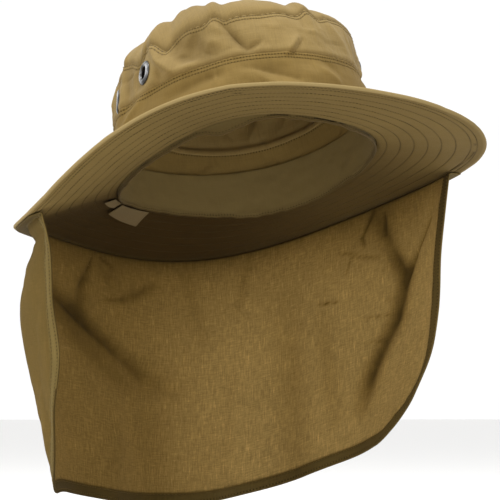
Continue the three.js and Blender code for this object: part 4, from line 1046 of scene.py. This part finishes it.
# --- sweatband
S = lines(-3.4, 29.0, 1.6, (-2.6,), 0.25, 0.8)[:, None]
A5 = ring(560)[None, :]
v = (A5 + 180) / 360
wave = 0.5 * np.sin(np.radians(A5) * 9) * np.cos(np.radians(A5) * 3 + 1) + 0.4 * lattice(v, 0 * v, 60, 1, 81) + 0.3 * lattice(v, 0 * v, 150, 1, 82)
k = np.clip(-S / 3.4, 0, 1)
hh5 = np.where(S < 0, S * hermite(SWEATBAND_EDGE["angle"], SWEATBAND_EDGE["drop"], A5 + 0 * S) / 3.4, S) - wave * k
inset = around("band_in", A5) * np.clip(hh5 / band_top(A5), 0, 1) - BAND_BOW * np.sin(np.pi * np.clip(hh5 / band_top(A5), 0, 1)) - raw_folds(A5 + 0 * S, np.maximum(hh5, 0), False) + 2.6
plump = (0.5 * lattice(v + 0 * S, S / 40 + 0 * A5 + 0.2, 52, 6, 83) + 0.25 * lattice(v + 0 * S, S / 40 + 0 * A5 + 0.2, 120, 12, 84)) * smooth((S + 3.4) / 3) + 0.5 * np.exp(-((S + 1.2) / 1.4) ** 2)
x, y, nx, ny = oval(A5 + 0 * S)
P = worn(x - nx * (inset + plump * 0.6), y - ny * (inset + plump * 0.6), around("seam_z", A5) * np.exp(-np.maximum(hh5, 0) / 30) + hh5)
uv = np.stack([np.broadcast_to(v * ROUND, P.shape[:2]), np.broadcast_to(S * MM, P.shape[:2])], -1)
from_edge = hh5 - hh5[:1]
stitched = np.exp(-((from_edge - 1.1) / 0.36) ** 2)
# Painted shade: darker along the stitched row and towards the lower edge, more at the front, and darkest on the edge
# row.
tone = 1 - 0.25 * stitched - 0.40 * smooth((0.8 - S) / 1.6) * (0.55 + 0.45 * smooth((np.cos(np.radians(A5)) + 0.2) / 0.6))
tone[0] = 0.0
sweatband = place(shell("sweatband_cloth", P, 1.4, band_gold, inner=-0.2 * stitched, uv=uv, tones={"tone": tone, "row": 0.8 * stitched, "run": 260 * v + 0 * S}), "sweatband_cotton", "sweatband")

# --- neck flap
X = lines(0.0, FLAP_WIDE, 1.66, (1.5, 6.8, FLAP_WIDE - 6.8, FLAP_WIDE - 1.5), 0.42, 1.2)
FA = np.interp(X, FLAP_ARC, _aa)[None, :]
B = lines(0.0, 184.0, 1.75, (177.2, 182.5), 0.42, 1.1)
B = B[B > 0.9][:, None]
long = flap_length(FA)
s = np.where(B < 174, B / 174 * (long - 10), long - (184 - B))
x_flat = X[None, :] + 0 * s
edge = flap_edge(x_flat, s)
hang = flap_point(FA + 0 * s, s)
strip_s = np.array([-9.1, -7.6, -6.0, -4.5, -3.0, -1.5])[:, None]
strip = brim_point(FA + 0 * strip_s, FLAP_SEAM - strip_s + 0 * FA, FLAP_DEPTH)
P = np.concatenate([strip, hang])
folded = smooth((8.2 - edge) / 0.6)
skin = 0.34 * folded + groove(edge - 1.5, 0.24, 0.5) + groove(edge - 6.8, 0.24, 0.5)
skin = np.concatenate([np.zeros((len(strip_s), len(X))), skin])
dense = flap_doubled_and_shade(FA + 0 * s, s)
# Painted shade in the hem's stitch grooves, in the crease along the seam and on the strip under the brim.
plain = 1 - 0.15 * np.exp(-((edge - 1.5) / 0.6) ** 2) - 0.15 * np.exp(-((edge - 6.8) / 0.6) ** 2) - 0.5 * np.exp(-s / 1.5)
strip_tone = np.full((len(strip_s), len(X)), 0.7)
# Painted shade inside the flap: more on the wearer's right half and near the seam, and the inside is darker than the
# outside, most in the folds; the shaded places also let less light through.
right_half = smooth((FA - 162) / 40)
shade = 0.54 * right_half + np.exp(-s / 36) * (0.80 - 0.40 * right_half)
tone, tone_outside = np.concatenate([strip_tone * 0.4, 0.5 * plain * (1 - shade) * (1 - 0.8 * np.maximum(dense, 0))]), np.concatenate([strip_tone, plain])
block = 1 - (1 - 0.93 * folded) * (1 - 0.8 * shade) * (1 - 0.92 * dense)
hem_and_shade = np.concatenate([np.ones((len(strip_s), len(X))), np.clip(block, 0, 1)])
hem_outside = np.concatenate([np.ones((len(strip_s), len(X))), 0.93 * folded])


def hem_along(x, y, d):
    """The way along the flap's front and lower edges, at distance d inside them, from the wearer's left seam end to the right one."""
    L, r, W_ = FLAP_LENGTH, FLAP_CORNER, FLAP_WIDE
    corner, whole = math.pi / 2 * (r - d), 2 * (L - r) + math.pi * (r - d) + W_ - 2 * r
    near = np.minimum(x, W_ - x)
    turn = np.arctan2(np.maximum(y - (L - r), 0), np.maximum(r - near, 1e-6))
    way = np.where(y < L - r, y, np.where(near < r, L - r + turn * (r - d), L - r + corner + near - r))
    return np.where(x < W_ / 2, way, whole - way) - 1.5, whole - 3.0


HEM_ROWS, HEM_PITCH = (1.5, 6.8), 2.5
way = {d: hem_along(x_flat, s, d) for d in HEM_ROWS}
first = np.abs(edge - 1.5) < np.abs(edge - 6.8)
hem_count = {d: round(way[d][1] / HEM_PITCH) for d in HEM_ROWS}
share_along = np.where(first, way[1.5][0] / way[1.5][1] * hem_count[1.5], way[6.8][0] / way[6.8][1] * hem_count[6.8])
near_row = np.exp(-((edge - 1.5) / 0.42) ** 2) + np.exp(-((edge - 6.8) / 0.42) ** 2)
row = np.concatenate([np.zeros((len(strip_s), len(X))), near_row])
run = np.concatenate([np.zeros((len(strip_s), len(X))), share_along])
uv = np.stack([np.broadcast_to(X * MM, P.shape[:2]), np.concatenate([strip_s + 0 * FA, s]) * MM], -1)
flap = place(shell("neck_flap_cloth", P, 0.8, flap_khaki, wrap=False, outer=skin, inner=skin, uv=uv, tones={"tone": tone, "hem_and_shade": hem_and_shade, "row": row, "run": run, "inside": 1.0}, inner_tones={"tone": tone_outside, "hem_and_shade": hem_outside, "inside": 0.25}), "flap_cotton", "neck_flap")


def flap_line(d):
    """The line that runs at distance d inside the flap's front and lower edges, on the flat cloth."""
    L, r, W_ = FLAP_LENGTH, FLAP_CORNER, FLAP_WIDE
    f = np.linspace(0, math.pi / 2, 60)[1:]
    left = np.stack([np.full(60, d), np.linspace(1.5, L - r, 60)], -1)
    turn = np.stack([r - (r - d) * np.cos(f), L - r + (r - d) * np.sin(f)], -1)
    half = np.concatenate([left, turn])
    other = half[::-1] * [-1, 1] + [W_, 0]
    bottom = np.stack([np.linspace(half[-1, 0], other[0, 0], 200)[1:-1], np.full(198, L - d)], -1)
    return np.concatenate([half, bottom, other])


def flap_flat(x, y):
    return flap_point(np.interp(x, FLAP_ARC, _aa), y)


rows_flap = []
for d in HEM_ROWS:
    xy = flap_line(d)
    step = np.linalg.norm(np.diff(xy, axis=0), axis=1)
    run = np.concatenate([[0], np.cumsum(step)])
    at = np.arange(0, run[-1], 0.5)
    x, y = np.interp(at, run, xy[:, 0]), np.interp(at, run, xy[:, 1])
    p = flap_flat(x, y)
    t = unit(np.gradient(p, axis=0))
    e = 0.4
    n = unit(np.cross(flap_flat(np.minimum(x + e, FLAP_WIDE), y) - flap_flat(np.maximum(x - e, 0), y), flap_flat(x, y + e) - flap_flat(x, y - e)))
    for sign in (1, -1):
        rows_flap.append((p + n * sign * 0.56, t, n * sign, False))
flap_thread = place(stitches("flap_stitches", rows_flap, thread_khaki, HEM_PITCH, 1.85, 0.2), "flap_cotton")

# --- eyelets
turns = 80
profile = np.array([
    (4.30, -2.2), (4.30, -1.0), (4.30, 0.4), (4.36, 1.0), (4.55, 1.5), (4.9, 1.86), (5.4, 2.05), (6.0, 2.1), (6.7, 2.02), (7.4, 1.8), (8.0, 1.45), (8.35, 1.1),
    (8.5, 0.85), (8.46, 0.72), (8.3, 0.66), (6.5, 0.72), (4.95, 0.72), (4.9, 0.5), (4.9, -0.9), (5.0, -1.0), (7.2, -1.0), (7.6, -1.1), (7.7, -1.3), (7.6, -1.55),
    (7.1, -1.8), (6.0, -2.2), (5.0, -2.45), (4.5, -2.4),
])
# Painted highlight on the crest of the rolled flange, strongest at two opposite sides of the ring, and painted shade
# down the barrel and at the outer edge.
flange_highlight = np.clip(np.exp(-((profile[:, 0] - 6.4) / 1.5) ** 2) * 1.4 - 0.1, 0, 1) * (profile[:, 1] > 0.2)
for name, (angle, level, turn, lean) in EYELETS.items():
    point = lambda da=0.0, dl=0.0: side_point(np.array(angle + da, float), np.array(level + dl, float))
    at = point()
    n = unit(np.cross(point(3) - point(-3), point(0, 0.12) - point(0, -0.12)))
    e1 = unit(np.cross([0, 0, 1.0], n))
    e2 = np.cross(n, e1)
    f = np.arange(turns) * 2 * math.pi / turns
    V = at + profile[:, 1][:, None, None] * n + profile[:, 0][:, None, None] * (np.cos(f)[None, :, None] * e1 + np.sin(f)[None, :, None] * e2)
    V = V[::-1]
    m = len(profile)
    I, J = np.meshgrid(np.arange(m), np.arange(turns), indexing="ij")
    I2, J2 = (I + 1) % m, (J + 1) % turns
    quads = np.stack([I * turns + J, I * turns + J2, I2 * turns + J2, I2 * turns + J], -1).reshape(-1, 4)
    place(new_object(name + "_metal", V.reshape(-1, 3), [quads], [np.zeros((len(quads), 4, 2))], {"tone": (flange_highlight[::-1, None] * (0.50 + 0.5 * np.cos(2 * (f - 0.5)))[None, :]).ravel()}, nickel_metal), "eyelet_nickel", name)

# --- labels, bare
LABELS = {
    "label_small": ((-116, 0.6, 2.0), (-126.5, 0.6, 2.0), (-127.7, 6.9, 2.6), (-112.8, 8.4, 3.6)),
    "label_large": ((-128.5, 0.6, 3.0), (-152, 2.2, 3.2), (-152.9, 18.4, 5.4), (-131.2, 13.6, 4.6)),
}
for name, c in LABELS.items():
    c = np.array(c, float)
    q, p = np.linspace(0, 1, 41)[None, :, None], np.linspace(0, 1, 31)[:, None, None]
    at = (c[0] * (1 - q) + c[1] * q) * (1 - p) + (c[3] * (1 - q) + c[2] * q) * p
    bend = 0.5 * np.sin(np.pi * q[..., 0]) * p[..., 0] + 0.6 * p[..., 0] ** 2 * (q[..., 0] - 0.4)
    P = brim_point(at[..., 0], at[..., 1], at[..., 2] + bend)
    wide = np.linalg.norm(P[0, -1] - P[0, 0]), np.linalg.norm(P[-1, 0] - P[0, 0])
    uv = np.stack([np.broadcast_to(q[..., 0] * wide[0], P.shape[:2]), np.broadcast_to(p[..., 0] * wide[1], P.shape[:2])], -1) * MM
    side_d = np.minimum(q[..., 0], 1 - q[..., 0]) * wide[0] + 0 * p[..., 0]
    selvedge = 0.10 * smooth((1.2 - side_d) / 0.3)
    tone = 1 - 0.5 * np.exp(-((side_d - 1.3) / 0.25) ** 2)
    place(shell(name + "_cloth", P, 0.5, label_cloth, wrap=False, outer=selvedge, inner=selvedge, uv=uv, tones={"tone": tone}), "label_cloth", name)

# --- stage, light and camera
FLOOR, SKY = -0.262, 0.9
mesh = bpy.data.meshes.new("floor")
mesh.from_pydata([(-40, -40, FLOOR), (40, -40, FLOOR), (40, 40, FLOOR), (-40, 40, FLOOR)], [], [(0, 1, 2, 3)])


def pale(node, tree):
    at = node("ShaderNodeTexCoord").outputs["Object"]
    grain = node("ShaderNodeTexNoise", {"Vector": at, "Scale": 6.0, "Detail": 3.0}).outputs[0]
    colour = mixed(node, grain, (0.691, 0.680, 0.659), (0.724, 0.713, 0.691))
    # Painted shade: the floor is darker near the hat and paler further out.
    away = node("ShaderNodeVectorMath", {0: at}, operation="LENGTH").outputs["Value"]
    painted_light = node("ShaderNodeMapRange", {0: away, 1: 0.35, 2: 1.1, 3: 0.0, 4: 1.0}, interpolation_type="SMOOTHSTEP").outputs[0]
    colour = mixed(node, painted_light, colour, (0.950, 0.945, 0.934))
    return node("ShaderNodeBsdfPrincipled", {"Base Color": colour, "Roughness": 0.8, "Specular IOR Level": 0.2}).outputs[0]


mesh.materials.append(material("pale_floor", pale))
floor = bpy.data.objects.new("floor", mesh)
bpy.context.scene.collection.objects.link(floor)

# The studio is white near the horizon and dimmer overhead.
world = bpy.data.worlds.new("studio")
world.use_nodes = True
tree = world.node_tree
direction = tree.nodes.new("ShaderNodeTexCoord")
split = tree.nodes.new("ShaderNodeSeparateXYZ")
level = tree.nodes.new("ShaderNodeMapRange")
level.interpolation_type = "SMOOTHSTEP"
for k, v in ((1, 0.20), (2, 0.60), (3, 1.02), (4, SKY)):
    level.inputs[k].default_value = v
tree.links.new(direction.outputs["Generated"], split.inputs[0])
tree.links.new(split.outputs[2], level.inputs[0])
tree.nodes["Background"].inputs[0].default_value = (1.0, 1.0, 1.0, 1)
tree.links.new(level.outputs[0], tree.nodes["Background"].inputs[1])
bpy.context.scene.world = world


def lamp(name, at, aim, size, power, colour=(1, 1, 1)):
    light = bpy.data.lights.new(name, "AREA")
    light.shape = "RECTANGLE"
    light.size, light.size_y = size
    light.energy, light.color = power, colour
    obj = bpy.data.objects.new(name, light)
    obj.location = at
    obj.rotation_euler = (Vector(aim) - Vector(at)).to_track_quat("-Z", "Y").to_euler()
    bpy.context.scene.collection.objects.link(obj)
    return obj


lamp("overhead_softbox", (-0.1, -0.15, 1.7), (0, 0, 0.0), (1.3, 1.1), 22)
lamp("side_softbox", (-2.0, -1.0, 0.15), (0, 0, -0.08), (1.0, 1.0), 7)

TURN, TILT, DISTANCE = math.radians(20), math.radians(-4.48), 1.46166
right = Vector((math.cos(TURN), -math.sin(TURN), 0))
target = right * 0.002495 + Vector((0, 0, -0.05599))
data = bpy.data.cameras.new("camera")
data.sensor_width, data.lens = 36.0, 36.0 * 1.44152 * 1461.66 / 500
data.clip_start, data.clip_end = 0.05, 200
camera = bpy.data.objects.new("camera", data)
camera.location = target + Vector((-math.sin(TURN) * math.cos(TILT), -math.cos(TURN) * math.cos(TILT), math.sin(TILT))) * DISTANCE
camera.rotation_euler = (target - camera.location).to_track_quat("-Z", "Y").to_euler()
bpy.context.scene.collection.objects.link(camera)
bpy.context.scene.camera = camera
bpy.context.scene.view_settings.view_transform = "Standard"

bpy.context.view_layer.update()
